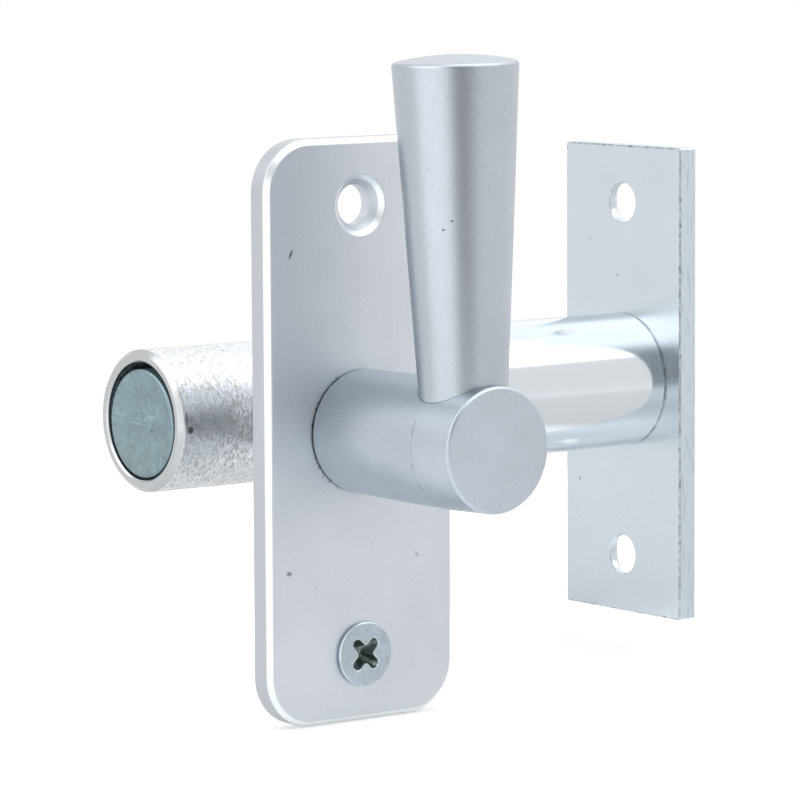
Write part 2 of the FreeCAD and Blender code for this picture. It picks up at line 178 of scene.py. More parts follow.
class Board:
    """A material's node tree, with short calls for the nodes that the finishes use."""

    def __init__(self, name: str) -> None:
        """Start a material with its shader and its place on the piece.

        Args:
            name: the material's name.
        """
        self.material = bpy.data.materials.new(name)
        self.material.use_nodes = True
        self.tree = self.material.node_tree
        self.shader = self.tree.nodes["Principled BSDF"]
        self.place = self.node("ShaderNodeTexCoord").outputs["Object"]

    def node(self, kind: str, **settings: object) -> bpy.types.Node:
        """Add a node.

        Args:
            kind: the node's type.
            settings: properties to set on it.

        Returns:
            The new node.
        """
        made = self.tree.nodes.new(kind)
        for name, value in settings.items():
            setattr(made, name, value)
        return made

    def feed(self, socket: Socket, value: object) -> None:
        """Link a socket to another, or set its constant."""
        if isinstance(value, bpy.types.NodeSocket):
            self.tree.links.new(value, socket)
        else:
            socket.default_value = value

    def math(self, operation: str, a: object, b: object = 0.0, c: object = 0.0) -> Socket:
        """One math node of up to three values.

        Args:
            operation: the node's operation.
            a: first value or socket.
            b: second value or socket.
            c: third value or socket.

        Returns:
            The result's socket.
        """
        made = self.node("ShaderNodeMath", operation=operation)
        for socket, value in zip(made.inputs, (a, b, c)):
            self.feed(socket, value)
        return made.outputs[0]

    def times(self, a: object, b: object) -> Socket:
        """The product of two values, or the share where two shares both hold."""
        return self.math("MULTIPLY", a, b)

    def minus(self, a: object, b: object) -> Socket:
        """The first value less the second."""
        return self.math("SUBTRACT", a, b)

    def apart(self, value: Socket, mark: float) -> Socket:
        """How far a length is from a mark in millimetres, either way."""
        return self.math("ABSOLUTE", self.minus(value, mark * MM))

    def radius(self, a: Socket, b: Socket) -> Socket:
        """The distance from an axis, from the two offsets across it."""
        return self.math("SQRT", self.math("MULTIPLY_ADD", a, a, self.times(b, b)))

    def vector(self, operation: str, a: object, b: object) -> Socket:
        """One vector math node of two vectors.

        Args:
            operation: the node's operation.
            a: first vector or socket.
            b: second vector or socket.

        Returns:
            The result's socket, a vector or a value.
        """
        made = self.node("ShaderNodeVectorMath", operation=operation)
        self.feed(made.inputs[0], a)
        self.feed(made.inputs[1], b)
        value = operation in ("LENGTH", "DOT_PRODUCT", "DISTANCE")
        return made.outputs["Value" if value else "Vector"]

    def parts(self, place: Socket) -> tuple[Socket, Socket, Socket]:
        """The X, Y and Z of a vector."""
        made = self.node("ShaderNodeSeparateXYZ")
        self.feed(made.inputs[0], place)
        return made.outputs[0], made.outputs[1], made.outputs[2]

    def noise(self, place: Socket, scale: float, detail: float = 2.0, rough: float = 0.5) -> Socket:
        """Noise from 0 to 1.

        Args:
            place: where it is read.
            scale: cells per metre of the place.
            detail: octaves.
            rough: weight of the finer octaves.

        Returns:
            The noise's value.
        """
        made = self.node("ShaderNodeTexNoise")
        self.feed(made.inputs["Vector"], place)
        made.inputs["Scale"].default_value = scale
        made.inputs["Detail"].default_value = detail
        made.inputs["Roughness"].default_value = rough
        return made.outputs[0]

    def ramp(self, value: Socket, low: float, high: float, start: float = 0.0,
             end: float = 1.0) -> Socket:
        """A smooth step of a value from start at low to end at high.

        Args:
            value: what is read.
            low: where the step starts.
            high: where it ends.
            start: result at and before low.
            end: result at and past high.

        Returns:
            The step's value.
        """
        made = self.node("ShaderNodeMapRange", interpolation_type="SMOOTHSTEP")
        names = ("Value", "From Min", "From Max", "To Min", "To Max")
        for name, given in zip(names, (value, low, high, start, end)):
            self.feed(made.inputs[name], given)
        return made.outputs[0]

    def edge(self, length: Socket, low: float, high: float, start: float = 0.0,
             end: float = 1.0) -> Socket:
        """A smooth step of a length, with its marks in millimetres.

        Args:
            length: what is read, in metres.
            low: where the step starts.
            high: where it ends.
            start: result at and before low.
            end: result at and past high.

        Returns:
            The step's value.
        """
        return self.ramp(length, low * MM, high * MM, start, end)

    def mix(self, factor: object, first: object, second: object) -> Socket:
        """A colour between two.

        Args:
            factor: 0 for the first, 1 for the second.
            first: colour or socket.
            second: colour or socket.

        Returns:
            The colour's socket.
        """
        made = self.node("ShaderNodeMix", data_type="RGBA", clamp_factor=True)
        self.feed(made.inputs[0], factor)
        self.feed(made.inputs[6], first)
        self.feed(made.inputs[7], second)
        return made.outputs[2]

    def stretched(self, along: Triple) -> Socket:
        """The place with each axis scaled, for streaks."""
        return self.vector("MULTIPLY", self.place, along)

    def bump(self, height: Socket, depth: float, under: Socket | None = None) -> Socket:
        """A bump of a height field.

        Args:
            height: 0 to 1.
            depth: metres that a height of 1 stands up.
            under: a bump that lies below this one.

        Returns:
            The normal's socket.
        """
        made = self.node("ShaderNodeBump")
        made.inputs["Strength"].default_value = 1.0
        made.inputs["Distance"].default_value = depth
        self.feed(made.inputs["Height"], height)
        if under is not None:
            self.feed(made.inputs["Normal"], under)
        return made.outputs[0]

    def spotted(self, colour: Socket, spots: Sequence[Tick], tone: Triple) -> Socket:
        """A colour with small marks laid over it.

        Args:
            colour: what lies under the marks.
            spots: the marks.
            tone: the marks' colour.

        Returns:
            The colour's socket.
        """
        for spot in spots:
            mark = self.spot(spot.centre, spot.half, spot.turn)
            colour = self.mix(self.times(mark, spot.strength), colour, (*tone, 1.0))
        return colour

    def dress(self, colour: Socket, rough: Socket, normal: Socket) -> None:
        """Give the shader its colour, its roughness and its normal."""
        for name, value in (("Base Color", colour), ("Roughness", rough), ("Normal", normal)):
            self.feed(self.shader.inputs[name], value)

    def spot(self, centre: Triple, half: Triple, turn: float = 0.0) -> Socket:
        """A soft mark of a given place and size.

        Args:
            centre: its middle, in millimetres.
            half: its half sizes, in millimetres.
            turn: degrees that it is turned about Y.

        Returns:
            1 at its middle, 0 outside.
        """
        moved = self.vector("SUBTRACT", self.place, tuple(c * MM for c in centre))
        if turn:
            made = self.node("ShaderNodeVectorRotate", rotation_type="Y_AXIS")
            self.feed(made.inputs["Vector"], moved)
            made.inputs["Angle"].default_value = math.radians(turn)
            moved = made.outputs[0]
        sized = self.vector("MULTIPLY", moved, tuple(1 / (h * MM) for h in half))
        length = self.vector("LENGTH", sized, (0.0, 0.0, 0.0))
        return self.ramp(length, 1.0, 0.45)


@dataclass(frozen=True)
class Finish:
    """A metal's finish: its colour, its gloss and the fine grain of its surface.

    Grain is in cells per metre and its depth in metres. Levels are shares of the colour.
    """

    name: str
    slot: str
    colour: Triple
    roughness: float
    metallic: float = 1.0
    grain: float = 3500.0
    grain_depth: float = 4e-6
    mottle: float = 0.05

    def rgba(self, level: float = 1.0) -> Rgba:
        """The finish's colour at a share of its level."""
        red, green, blue = self.colour
        return (red * level, green * level, blue * level, 1.0)

    def material(self) -> bpy.types.Material:
        """Build the finish's material once and hand out the same one after.

        Returns:
            The material.
        """
        found = bpy.data.materials.get(self.name)
        if found is not None:
            return found
        board = Board(self.name)
        board.shader.inputs["Metallic"].default_value = self.metallic
        self.surface(board)
        return board.material

    def surface(self, board: Board) -> None:
        """Even grain with faint clouds in its colour and gloss.

        Args:
            board: the material's nodes.
        """
        clouds = board.noise(board.place, 90.0, 3.0)
        grain = board.noise(board.place, self.grain, 2.0, 0.6)
        colour = self.mottled(board, clouds)
        rough = board.ramp(grain, 0.2, 0.8, self.roughness * 0.9, self.roughness * 1.1)
        board.dress(colour, rough, board.bump(grain, self.grain_depth))

    def mottled(self, board: Board, share: Socket) -> Socket:
        """The finish's colour, a little darker or lighter by a share from 0 to 1."""
        return board.mix(share, self.rgba(1.0 - self.mottle), self.rgba(1.0 + self.mottle))


@dataclass(frozen=True)
class SatinFinish(Finish):
    """Satin silver with the nicks and the grime that the photograph shows.

    A y of None leaves that mark out. open_half is half the width and height of the middle of
    the plate, where walls belong to its holes.
    """

    sandy: float = 0.4
    ticks: tuple[Tick, ...] = ()
    tick_tone: Triple = (0.05, 0.055, 0.06)
    tick_depth: float = 6e-5
    grime_y: float | None = None
    grime_r: float = 10.6
    grime_reach: float = 0.85
    grime_tone: Triple = (0.08, 0.077, 0.075)
    seam_y: float | None = None
    seam_level: float = 0.45
    # The dark line round the lever's foot is painted shade in the joint, partly dirt.
    has_foot_shade: bool = False
    foot_shade_level: float = 0.42
    cut_y: float | None = None
    cut_starts: tuple[float, float] = (0.1, 0.2)
    cut_ends: tuple[float, float] = (0.98, 0.84)
    # The chamfer's colour is lifted, partly as a painted highlight.
    cut_highlight_level: float = 1.42
    cut_polish: float = 0.3
    # The outer wall's darker colour is painted shade.
    wall_shade_level: float = 0.84
    open_half: tuple[float, float] = (11.0, 45.0)

    def surface(self, board: Board) -> None:
        """Sandy grain, faint clouds and dark nicks, and the marks that the finish asks for.

        Args:
            board: the material's nodes.
        """
        clouds = board.noise(board.place, 60.0, 4.0)
        grain = board.noise(board.place, self.grain, 2.0, 0.6)
        tone = board.math("MULTIPLY_ADD", clouds, 1.0 - self.sandy, board.times(grain, self.sandy))
        tone = board.ramp(tone, 0.3, 0.7)
        colour = self.mottled(board, tone)
        normal = board.bump(grain, self.grain_depth)
        for tick in self.ticks:
            mark = board.spot(tick.centre, tick.half, tick.turn)
            colour = board.mix(board.times(mark, tick.strength), colour, (*self.tick_tone, 1.0))
            normal = board.bump(board.minus(1.0, mark), self.tick_depth, normal)
        if self.grime_y is not None:
            colour = board.mix(self.grime(board), colour, (*self.grime_tone, 1.0))
        if self.seam_y is not None:
            colour = board.mix(self.seam(board), colour, self.rgba(self.seam_level))
        # Painted shade, partly dirt, in the joint round the lever's foot.
        if self.has_foot_shade:
            colour = board.mix(self.foot_shade_and_dirt(board), colour, self.rgba(self.foot_shade_level))
        rough = board.ramp(tone, 0.0, 1.0, self.roughness * 1.06, self.roughness * 0.94)
        # The chamfer: a lighter colour, partly a painted highlight, and less roughness.
        if self.cut_y is not None:
            cut = self.cut(board)
            colour = board.mix(cut, colour, self.rgba(self.cut_highlight_level))
            rough = board.math("MULTIPLY_ADD", cut, -self.cut_polish * self.roughness, rough)
            # The outer wall: a darker colour, painted shade.
            colour = board.mix(self.wall(board), colour, self.rgba(self.wall_shade_level))
        board.dress(colour, rough, normal)

    def grime(self, board: Board) -> Socket:
        """A broken dark line round the hub where it meets the plate, heavier on the left.

        Args:
            board: the material's nodes.

        Returns:
            1 in the line, 0 outside it.
        """
        x, y, z = board.parts(board.place)
        across = board.minus(x, LAYOUT.axis_x * MM)
        radius = board.radius(across, z)
        jagged = board.ramp(board.noise(board.place, 1500.0, 3.0, 0.75), 0.48, 0.72)
        inner = (self.grime_r - 0.12) * MM
        reach = board.math("MULTIPLY_ADD", jagged, self.grime_reach * MM, inner)
        line = board.edge(board.minus(reach, radius), -0.04, 0.05)
        near = board.edge(board.apart(y, self.grime_y), 0.3, 0.12)
        patchy = board.ramp(board.noise(board.place, 420.0, 2.0, 0.6), 0.4, 0.6, 0.15, 0.85)
        left = board.edge(across, 3.0, -6.0, 0.25, 1.0)
        return board.times(board.times(line, near), board.times(patchy, left))

    def foot_shade_and_dirt(self, board: Board) -> Socket:
        """The fine dark line on the hub round the lever's foot: painted shade in the joint, partly dirt.

        Args:
            board: the material's nodes.

        Returns:
            1 in the line, 0 outside it.
        """
        x, y, z = board.parts(board.place)
        lean = math.tan(math.radians(LAYOUT.lean))
        across = board.math("MULTIPLY_ADD", z, lean, board.minus(x, LAYOUT.axis_x * MM))
        radius = board.radius(across, board.minus(y, LAYOUT.lever_y * MM))
        drop = board.minus(LAYOUT.hub_waist_r * MM, z)
        foot = board.math("MULTIPLY_ADD", drop, -LAYOUT.lever_taper, LAYOUT.lever_foot_r * MM)
        on_top = board.math("GREATER_THAN", z, 4.0 * MM)
        line = board.times(board.edge(board.minus(radius, foot), 0.3, 0.12), on_top)
        return board.times(line, board.ramp(board.noise(board.place, 800.0, 2.0), 0.3, 0.6, 0.6, 0.95))

    def cut(self, board: Board) -> Socket:
        """The chamfer round the plate's front, between the face and the wall: a bright cut whose colour is
        lifted, partly as a painted highlight.

        Args:
            board: the material's nodes.

        Returns:
            1 on the chamfer, 0 off it.
        """
        _, y, _ = board.parts(board.place)
        behind = board.edge(y, *(self.cut_y + mark for mark in self.cut_starts))
        return board.times(behind, board.edge(y, *(self.cut_y + mark for mark in self.cut_ends)))

    def wall(self, board: Board) -> Socket:
        """The plate's outer wall, which is darkened as painted shade.

        Args:
            board: the material's nodes.

        Returns:
            1 on the wall, 0 on the face, on the back and in the holes.
        """
        x, y, z = board.parts(board.place)
        half_x, half_z = self.open_half
        beyond_x = board.minus(board.apart(x, LAYOUT.axis_x), half_x * MM)
        beyond_z = board.minus(board.math("ABSOLUTE", z), half_z * MM)
        outside = board.math("GREATER_THAN", board.math("MAXIMUM", beyond_x, beyond_z), 0.0)
        before = board.math("GREATER_THAN", y, (self.cut_y + self.cut_ends[0]) * MM)
        behind = board.math("LESS_THAN", y, (LAYOUT.plate_back_y - 0.02) * MM)
        return board.times(outside, board.times(before, behind))

    def seam(self, board: Board) -> Socket:
        """Dust here and there in the hub's fine turned line.

        Args:
            board: the material's nodes.

        Returns:
            1 in the dust, 0 outside it.
        """
        _, y, _ = board.parts(board.place)
        line = board.edge(board.apart(y, self.seam_y), 0.2, 0.05)
        dust = board.noise(board.place, 700.0, 3.0, 0.7)
        return board.times(line, board.ramp(dust, 0.38, 0.6, 0.2, 0.9))


@dataclass(frozen=True)
class TurnedFinish(Finish):
    """Bright plating over fine turning marks that run round the tube.

    Its open end is worn and ragged, up to fade millimetres of it wholly, and its end is faced.
    """

    fine: float = 2600.0
    fine_depth: float = 5e-6
    coarse: float = 2150.0
    coarse_depth: float = 7.5e-5
    tail_x: float = -109.4
    fade: float = 12.0
    coarse_to: float = -72.0
    worn_tone: Triple = (0.842, 0.868, 0.892)
    worn_dull: float = 0.12
    mark_tone: Triple = (0.57, 0.585, 0.592)
    mark_dull: float = 0.36
    faced_tone: Triple = (0.55, 0.565, 0.578)
    joint_tone: Triple = (0.26, 0.27, 0.28)
    spots: tuple[Tick, ...] = ()
    spot_tone: Triple = (0.06, 0.065, 0.07)

    def surface(self, board: Board) -> None:
        """Marks round the tube, short and ragged towards its open end, a dark joint at the forend.

        Args:
            board: the material's nodes.
        """
        x, _, _ = board.parts(board.place)
        fine = board.noise(board.stretched((1.0, 0.03, 0.03)), self.fine, 3.0, 0.6)
        ragged = board.noise(board.stretched((1.0, 0.5, 0.5)), self.coarse, 4.0, 0.75)
        blotch = board.noise(board.place, 380.0, 3.0, 0.6)
        near_end = board.edge(x, self.coarse_to, self.tail_x + self.fade)
        faced = board.edge(x, self.tail_x + 1.0, self.tail_x + 0.8)
        worn = board.times(near_end, board.ramp(blotch, 0.3, 0.6, 0.5, 1.0))
        worn = board.times(worn, board.minus(1.0, faced))
        marks = board.times(board.ramp(ragged, 0.44, 0.58), worn)
        joint = board.times(board.edge(x, -0.5, -0.25), board.ramp(blotch, 0.4, 0.62, 0.25, 0.8))
        colour = board.mix(worn, self.rgba(), (*self.worn_tone, 1.0))
        colour = board.mix(marks, colour, (*self.mark_tone, 1.0))
        colour = board.mix(faced, colour, (*self.faced_tone, 1.0))
        colour = board.mix(joint, colour, (*self.joint_tone, 1.0))
        colour = board.spotted(colour, self.spots, self.spot_tone)
        dull = board.math("MAXIMUM", worn, faced)
        rough = board.math("MULTIPLY_ADD", dull, self.worn_dull, self.roughness)
        rough = board.math("MULTIPLY_ADD", marks, self.mark_dull, rough)
        normal = board.bump(fine, self.fine_depth)
        normal = board.bump(board.times(ragged, worn), self.coarse_depth, normal)
        board.dress(colour, rough, normal)


@dataclass(frozen=True)
class SheetFinish(Finish):
    """Polished plating on sheet, rougher and chipped along its sheared edges."""

    half_w: float = 16.5
    half_h: float = 44.0
    shear_level: float = 0.45
    shear_dull: float = 0.25
    shear_depth: float = 2e-5
    line_level: float = 0.4
    nick_tone: Triple = (0.06, 0.065, 0.07)
    nick_strength: float = 0.7
    spots: tuple[Tick, ...] = ()
    spot_tone: Triple = (0.08, 0.085, 0.09)

    def surface(self, board: Board) -> None:
        """Faint polish, pits and a broken dark line along the sheared edges.

        Args:
            board: the material's nodes.
        """
        x, y, z = board.parts(board.place)
        clouds = board.noise(board.place, 70.0, 3.0)
        grain = board.noise(board.place, self.grain, 2.0, 0.6)
        shear = board.noise(board.stretched((1.0, 0.15, 0.15)), 1500.0, 3.0, 0.65)
        chips = board.noise(board.place, 620.0, 3.0, 0.7)
        edge_y = board.minus(self.half_w * MM, board.math("ABSOLUTE", y))
        edge_z = board.minus(self.half_h * MM, board.math("ABSOLUTE", z))
        side = board.math("MINIMUM", edge_y, edge_z)
        corner = board.math("MAXIMUM", side, x)
        sheared = board.edge(side, 0.06, 0.02)
        torn = board.times(sheared, board.ramp(shear, 0.5, 0.7, 0.0, 0.3))
        nick = board.times(board.ramp(chips, 0.58, 0.68), board.edge(corner, 0.6, 0.3))
        line = board.times(board.edge(corner, 0.36, 0.24), board.ramp(chips, 0.34, 0.6, 0.12, 0.7))
        colour = self.mottled(board, clouds)
        colour = board.mix(torn, colour, self.rgba(self.shear_level))
        colour = board.mix(line, colour, self.rgba(self.line_level))
        colour = board.mix(board.times(nick, self.nick_strength), colour, (*self.nick_tone, 1.0))
        colour = board.spotted(colour, self.spots, self.spot_tone)
        rough = board.ramp(clouds, 0.3, 0.7, self.roughness * 0.85, self.roughness * 1.2)
        rough = board.math("MULTIPLY_ADD", sheared, self.shear_dull, rough)
        normal = board.bump(grain, self.grain_depth)
        normal = board.bump(board.times(shear, sheared), self.shear_depth, normal)
        board.dress(colour, rough, normal)


@dataclass(frozen=True)
class ZincFinish(Finish):
    """Blue-grey zinc with greenish clouds and fine scratches on the bolt's end."""

    green: Triple = (0.25, 0.33, 0.29)
    tail_x: float = -109.1
    centre_z: float = -0.45
    # The pale ring at the end's rim is a painted highlight.
    rim: tuple[float, float] = (9.1, 9.35)
    rim_highlight_level: float = 1.35
    scratches: tuple[float, ...] = (0.2, 0.95)
    scuff_level: float = 1.7
    scuff_strength: float = 0.75
    nick: Tick = Tick((-109.1, -3.3, -1.5), (2.0, 0.5, 0.4), 0.0, 0.7)
    nick_tone: Triple = (0.05, 0.06, 0.07)
    wax_depth: float = 2.5e-5
    scuff_depth: float = 2e-5

    def surface(self, board: Board) -> None:
        """Clouds from blue-grey to green, upright scratches, one scuff across the end and a pale ring
        round its rim, which is a painted highlight.

        Args:
            board: the material's nodes.
        """
        clouds = board.noise(board.place, 170.0, 5.0, 0.6)
        waxy = board.noise(board.place, 900.0, 4.0, 0.7)
        grain = board.noise(board.place, self.grain, 3.0, 0.6)
        upright = board.noise(board.stretched((1.0, 1.0, 0.12)), 1300.0, 3.0, 0.6)
        _, y, z = board.parts(board.place)
        lower = board.edge(z, 1.0, -7.0, 0.0, 0.6)
        greener = board.times(board.ramp(clouds, 0.35, 0.65), board.math("ADD", lower, 0.2))
        colour = board.mix(greener, self.rgba(), (*self.green, 1.0))
        for noise, low, high, share, level in ((clouds, 0.42, 0.66, 0.7, 1.3),
                                                  (waxy, 0.42, 0.62, 0.45, 0.74),
                                                  (upright, 0.58, 0.7, 0.35, 1.45)):
            colour = board.mix(board.ramp(noise, low, high, 0.0, share), colour, self.rgba(level))
        scuff = self.scuff(board, waxy)
        scuffed = board.times(scuff, self.scuff_strength)
        colour = board.mix(scuffed, colour, self.rgba(self.scuff_level))
        colour = board.spotted(colour, (self.nick,), self.nick_tone)
        # A pale ring at the rim and its chamfer: a painted highlight.
        radius = board.radius(y, board.minus(z, self.centre_z * MM))
        rim = board.times(board.edge(radius, *self.rim), board.ramp(waxy, 0.35, 0.55, 0.25, 0.7))
        colour = board.mix(rim, colour, self.rgba(self.rim_highlight_level))
        gloss = board.math("ADD", grain, waxy)
        rough = board.ramp(gloss, 0.6, 1.4, self.roughness * 0.8, self.roughness * 1.2)
        height = board.math("ADD", waxy, board.times(upright, 0.6))
        normal = board.bump(height, self.wax_depth)
        normal = board.bump(board.minus(1.0, scuff), self.scuff_depth, normal)
        board.dress(colour, rough, normal)

    def scuff(self, board: Board, waxy: Socket) -> Socket:
        """A rubbed patch and two fine scratches across the bolt's end.

        Args:
            board: the material's nodes.
            waxy: noise that makes the scratches waver.

        Returns:
            1 in the scuff, 0 outside it.
        """
        across = board.noise(board.stretched((1.0, 0.1, 1.0)), 1300.0, 3.0, 0.65)
        _, y, z = board.parts(board.place)
        drop = board.math("MULTIPLY_ADD", y, -0.06, board.math("MULTIPLY_ADD", waxy, 1.4 * MM, z))
        patch = board.spot((self.tail_x, 1.0, 0.6), (3.0, 6.5, 1.6))
        scuff = board.times(patch, board.ramp(across, 0.5, 0.62))
        for height in self.scratches:
            line = board.edge(board.apart(drop, height), 0.16, 0.03)
            line = board.times(line, board.ramp(across, 0.36, 0.5, 0.1, 0.85))
            scuff = board.math("MAXIMUM", scuff, board.times(line, board.edge(y, -4.5, -1.0)))
        return scuff


@dataclass(frozen=True)
class ScrewFinish(Finish):
    """Zinc plate on the screw, with dark grease in its cross recess."""

    centre: Triple = (-88.0, -36.68, -38.5)
    recess_r: float = 3.9
    recess_depth: float = 3.2
    head_r: float = 5.53
    # The rim and the recess mouth are lightened, partly as wear, partly as a painted highlight.
    wear_and_highlight_level: float = 1.7
    grease: Triple = (0.105, 0.13, 0.092)

    def surface(self, board: Board) -> None:
        """A mottled head whose rim and recess mouth are lighter, partly wear and partly a painted
        highlight, and a dark patchy recess.

        Args:
            board: the material's nodes.
        """
        moved = board.vector("SUBTRACT", board.place, tuple(c * MM for c in self.centre))
        x, y, z = board.parts(moved)
        radius = board.radius(x, z)
        clouds = board.noise(board.place, 420.0, 3.0, 0.6)
        grain = board.noise(board.place, 1500.0, 4.0, 0.7)
        opening = board.times(board.math("LESS_THAN", radius, self.recess_r * MM),
                              board.math("LESS_THAN", y, self.recess_depth * MM))
        inside = board.times(board.edge(y, 0.1, 0.4), opening)
        # Mouth and rim are lightened below, partly wear and partly a painted highlight.
        mouth = board.times(board.edge(y, 0.01, 0.05), opening)
        rim = board.times(board.edge(radius, self.head_r - 0.22, self.head_r - 0.08),
                          board.edge(y, 0.5, 0.35))
        worn = board.times(board.math("MAXIMUM", mouth, rim), board.ramp(clouds, 0.3, 0.5, 0.5, 1.0))
        dirt = board.times(inside, board.ramp(clouds, 0.38, 0.58, 0.96, 0.66))
        mottled = board.math("ADD", clouds, board.times(grain, 0.8))
        colour = board.mix(board.ramp(mottled, 0.7, 1.1), self.rgba(0.9), self.rgba(1.08))
        colour = board.mix(worn, colour, self.rgba(self.wear_and_highlight_level))
        colour = board.mix(dirt, colour, (*self.grease, 1.0))
        rough = board.math("MULTIPLY_ADD", clouds, 0.12, self.roughness)
        board.dress(colour, rough, board.bump(grain, self.grain_depth))


PLATE_TICKS = (
    Tick((-102.7, -35.8, 30.8), (0.28, 0.6, 1.15), -26.0, 0.85),
    Tick((-103.5, -35.8, -23.3), (0.75, 0.6, 0.5), 0.0, 0.6),
    Tick((-76.3, -35.8, -22.3), (0.3, 0.6, 1.0), 38.0, 0.35),
)
LEVER_TICKS = (
    Tick((-95.3, -70.4, 38.0), (0.4, 0.6, 0.32), 0.0, 0.75),
    Tick((-96.2, -69.3, 36.5), (0.32, 0.6, 0.3), 0.0, 0.6),
    Tick((-97.9, -67.6, 46.3), (0.3, 0.6, 0.25), 0.0, 0.4),
    Tick((-99.3, -64.2, 54.7), (0.3, 0.6, 0.3), 0.0, 0.35),
)
FOREND_SPOTS = (
    Tick((0.0, 1.5, 19.5), (0.5, 0.4, 0.35), 0.0, 0.4),
    Tick((0.0, 12.5, -20.0), (0.5, 0.35, 0.5), 0.0, 0.5),
    Tick((0.0, 9.5, 26.0), (0.5, 0.3, 0.35), 0.0, 0.35),
)
TUBE_SPOTS = (
    Tick((-107.35, -12.45, -0.6), (0.85, 1.0, 0.85), 0.0, 0.85),
    Tick((-108.1, -12.3, 1.2), (0.35, 1.2, 1.8), 0.0, 0.6),
)

# Plate, hub and lever are one satin silver in three tones, each set to how its part renders under these
# lamps: partly a different finish, partly painted shade on the darker hub and lever.
PLATE_SATIN = SatinFinish("satin_silver_plate", "satin_silver", (0.665, 0.70, 0.745), 0.46,
                          grain=2600.0, grain_depth=4e-6, mottle=0.04, ticks=PLATE_TICKS,
                          grime_y=LAYOUT.plate_front_y, cut_y=LAYOUT.plate_front_y)
# The hub carries painted shade, partly dirt, round the lever's foot.
HUB_SATIN = SatinFinish("satin_silver_hub", "satin_silver", (0.535, 0.59, 0.645), 0.36,
                        grain=2600.0, grain_depth=5e-6, mottle=0.07, seam_y=LAYOUT.seam_y,
                        has_foot_shade=True)
LEVER_SATIN = SatinFinish("satin_silver_lever", "satin_silver", (0.49, 0.535, 0.58), 0.34,
                          grain=2400.0, grain_depth=2.3e-5, mottle=0.06, ticks=LEVER_TICKS,
                          sandy=0.6)
TUBE_BRIGHT = TurnedFinish("bright_zinc_turned", "bright_zinc", (0.73, 0.77, 0.81), 0.13,
                           spots=TUBE_SPOTS)
FOREND_BRIGHT = SheetFinish("forend_zinc_sheet", "forend_zinc", (0.65, 0.715, 0.765), 0.26,
                            spots=FOREND_SPOTS)
BOLT_ZINC = ZincFinish("blue_zinc_bolt", "blue_zinc", (0.233, 0.322, 0.356), 0.42, metallic=0.75)
SCREW_ZINC = ScrewFinish("screw_zinc_plate", "screw_zinc", (0.48, 0.54, 0.59), 0.32,
                         grain_depth=8e-6)
MACHINED = Finish("dark_steel_machined", "dark_steel", (0.46, 0.47, 0.49), 0.34)
SPRING = Finish("spring_steel_grey", "spring_steel", (0.36, 0.36, 0.38), 0.34)
BRASS = Finish("brass_turned", "brass", (0.72, 0.52, 0.24), 0.28)
NYLON = Finish("nylon_natural", "nylon", (0.72, 0.71, 0.66), 0.5, metallic=0.0, grain_depth=2e-6)


class GeometryTree:
    """A Geometry Nodes tree with short calls for its nodes."""

    def __init__(self, name: str, inputs: Sequence[tuple[str, str]]) -> None:
        """Start a tree with a geometry input, named inputs and a geometry output.

        Args:
            name: the tree's name.
            inputs: name and type of each further input.
        """
        self.tree = bpy.data.node_groups.new(name, "GeometryNodeTree")
        face = self.tree.interface
        face.new_socket("Geometry", in_out="INPUT", socket_type="NodeSocketGeometry")
        self.ids: dict[str, str] = {}
        for key, kind in inputs:
            self.ids[key] = face.new_socket(key, in_out="INPUT", socket_type=kind).identifier
        face.new_socket("Geometry", in_out="OUTPUT", socket_type="NodeSocketGeometry")
        self.given = self.tree.nodes.new("NodeGroupInput")
        self.result = self.tree.nodes.new("NodeGroupOutput")

    def node(self, kind: str, inputs: dict[str | int, object] | None = None,
             **settings: object) -> bpy.types.Node:
        """Add a node and feed its inputs.

        Args:
            kind: the node's type.
            inputs: what goes to each input by name or number, a socket or a constant.
            settings: properties to set on it.

        Returns:
            The new node.
        """
        made = self.tree.nodes.new(kind)
        for name, value in settings.items():
            setattr(made, name, value)
        for name, value in (inputs or {}).items():
            socket = made.inputs[name]
            if isinstance(value, bpy.types.NodeSocket):
                self.tree.links.new(value, socket)
            else:
                socket.default_value = value
        return made

    def math(self, operation: str, a: object, b: object = 0.0) -> Socket:
        """One math node of two values.

        Args:
            operation: the node's operation.
            a: first value or socket.
            b: second value or socket.

        Returns:
            The result's socket.
        """
        return self.node("ShaderNodeMath", {0: a, 1: b}, operation=operation).outputs[0]

    def close(self, geometry: Socket) -> None:
        """End the tree in realized instances with the finish on them.

        Args:
            geometry: what the tree has made.
        """
        real = self.node("GeometryNodeRealizeInstances", {"Geometry": geometry})
        finish = self.given.outputs["Finish"]
        dressed = self.node("GeometryNodeSetMaterial", {"Geometry": real.outputs[0], "Material": finish})
        self.tree.links.new(dressed.outputs[0], self.result.inputs[0])

    def run(self, name: str, base: bpy.types.Mesh, values: dict[str, object]) -> bpy.types.Mesh:
        """Run the tree on a mesh and hand back what it makes as a plain mesh.

        Args:
            name: the new mesh's name.
            base: the mesh that the modifier starts from.
            values: a value for each named input.

        Returns:
            The result, in millimetres.
        """
        carrier = placed(name, base)
        modifier = carrier.modifiers.new("Build", "NODES")
        modifier.node_group = self.tree
        for key, value in values.items():
            modifier[self.ids[key]] = value
        made = evaluated(carrier)
        bpy.data.objects.remove(carrier)
        made.name = name
        return made


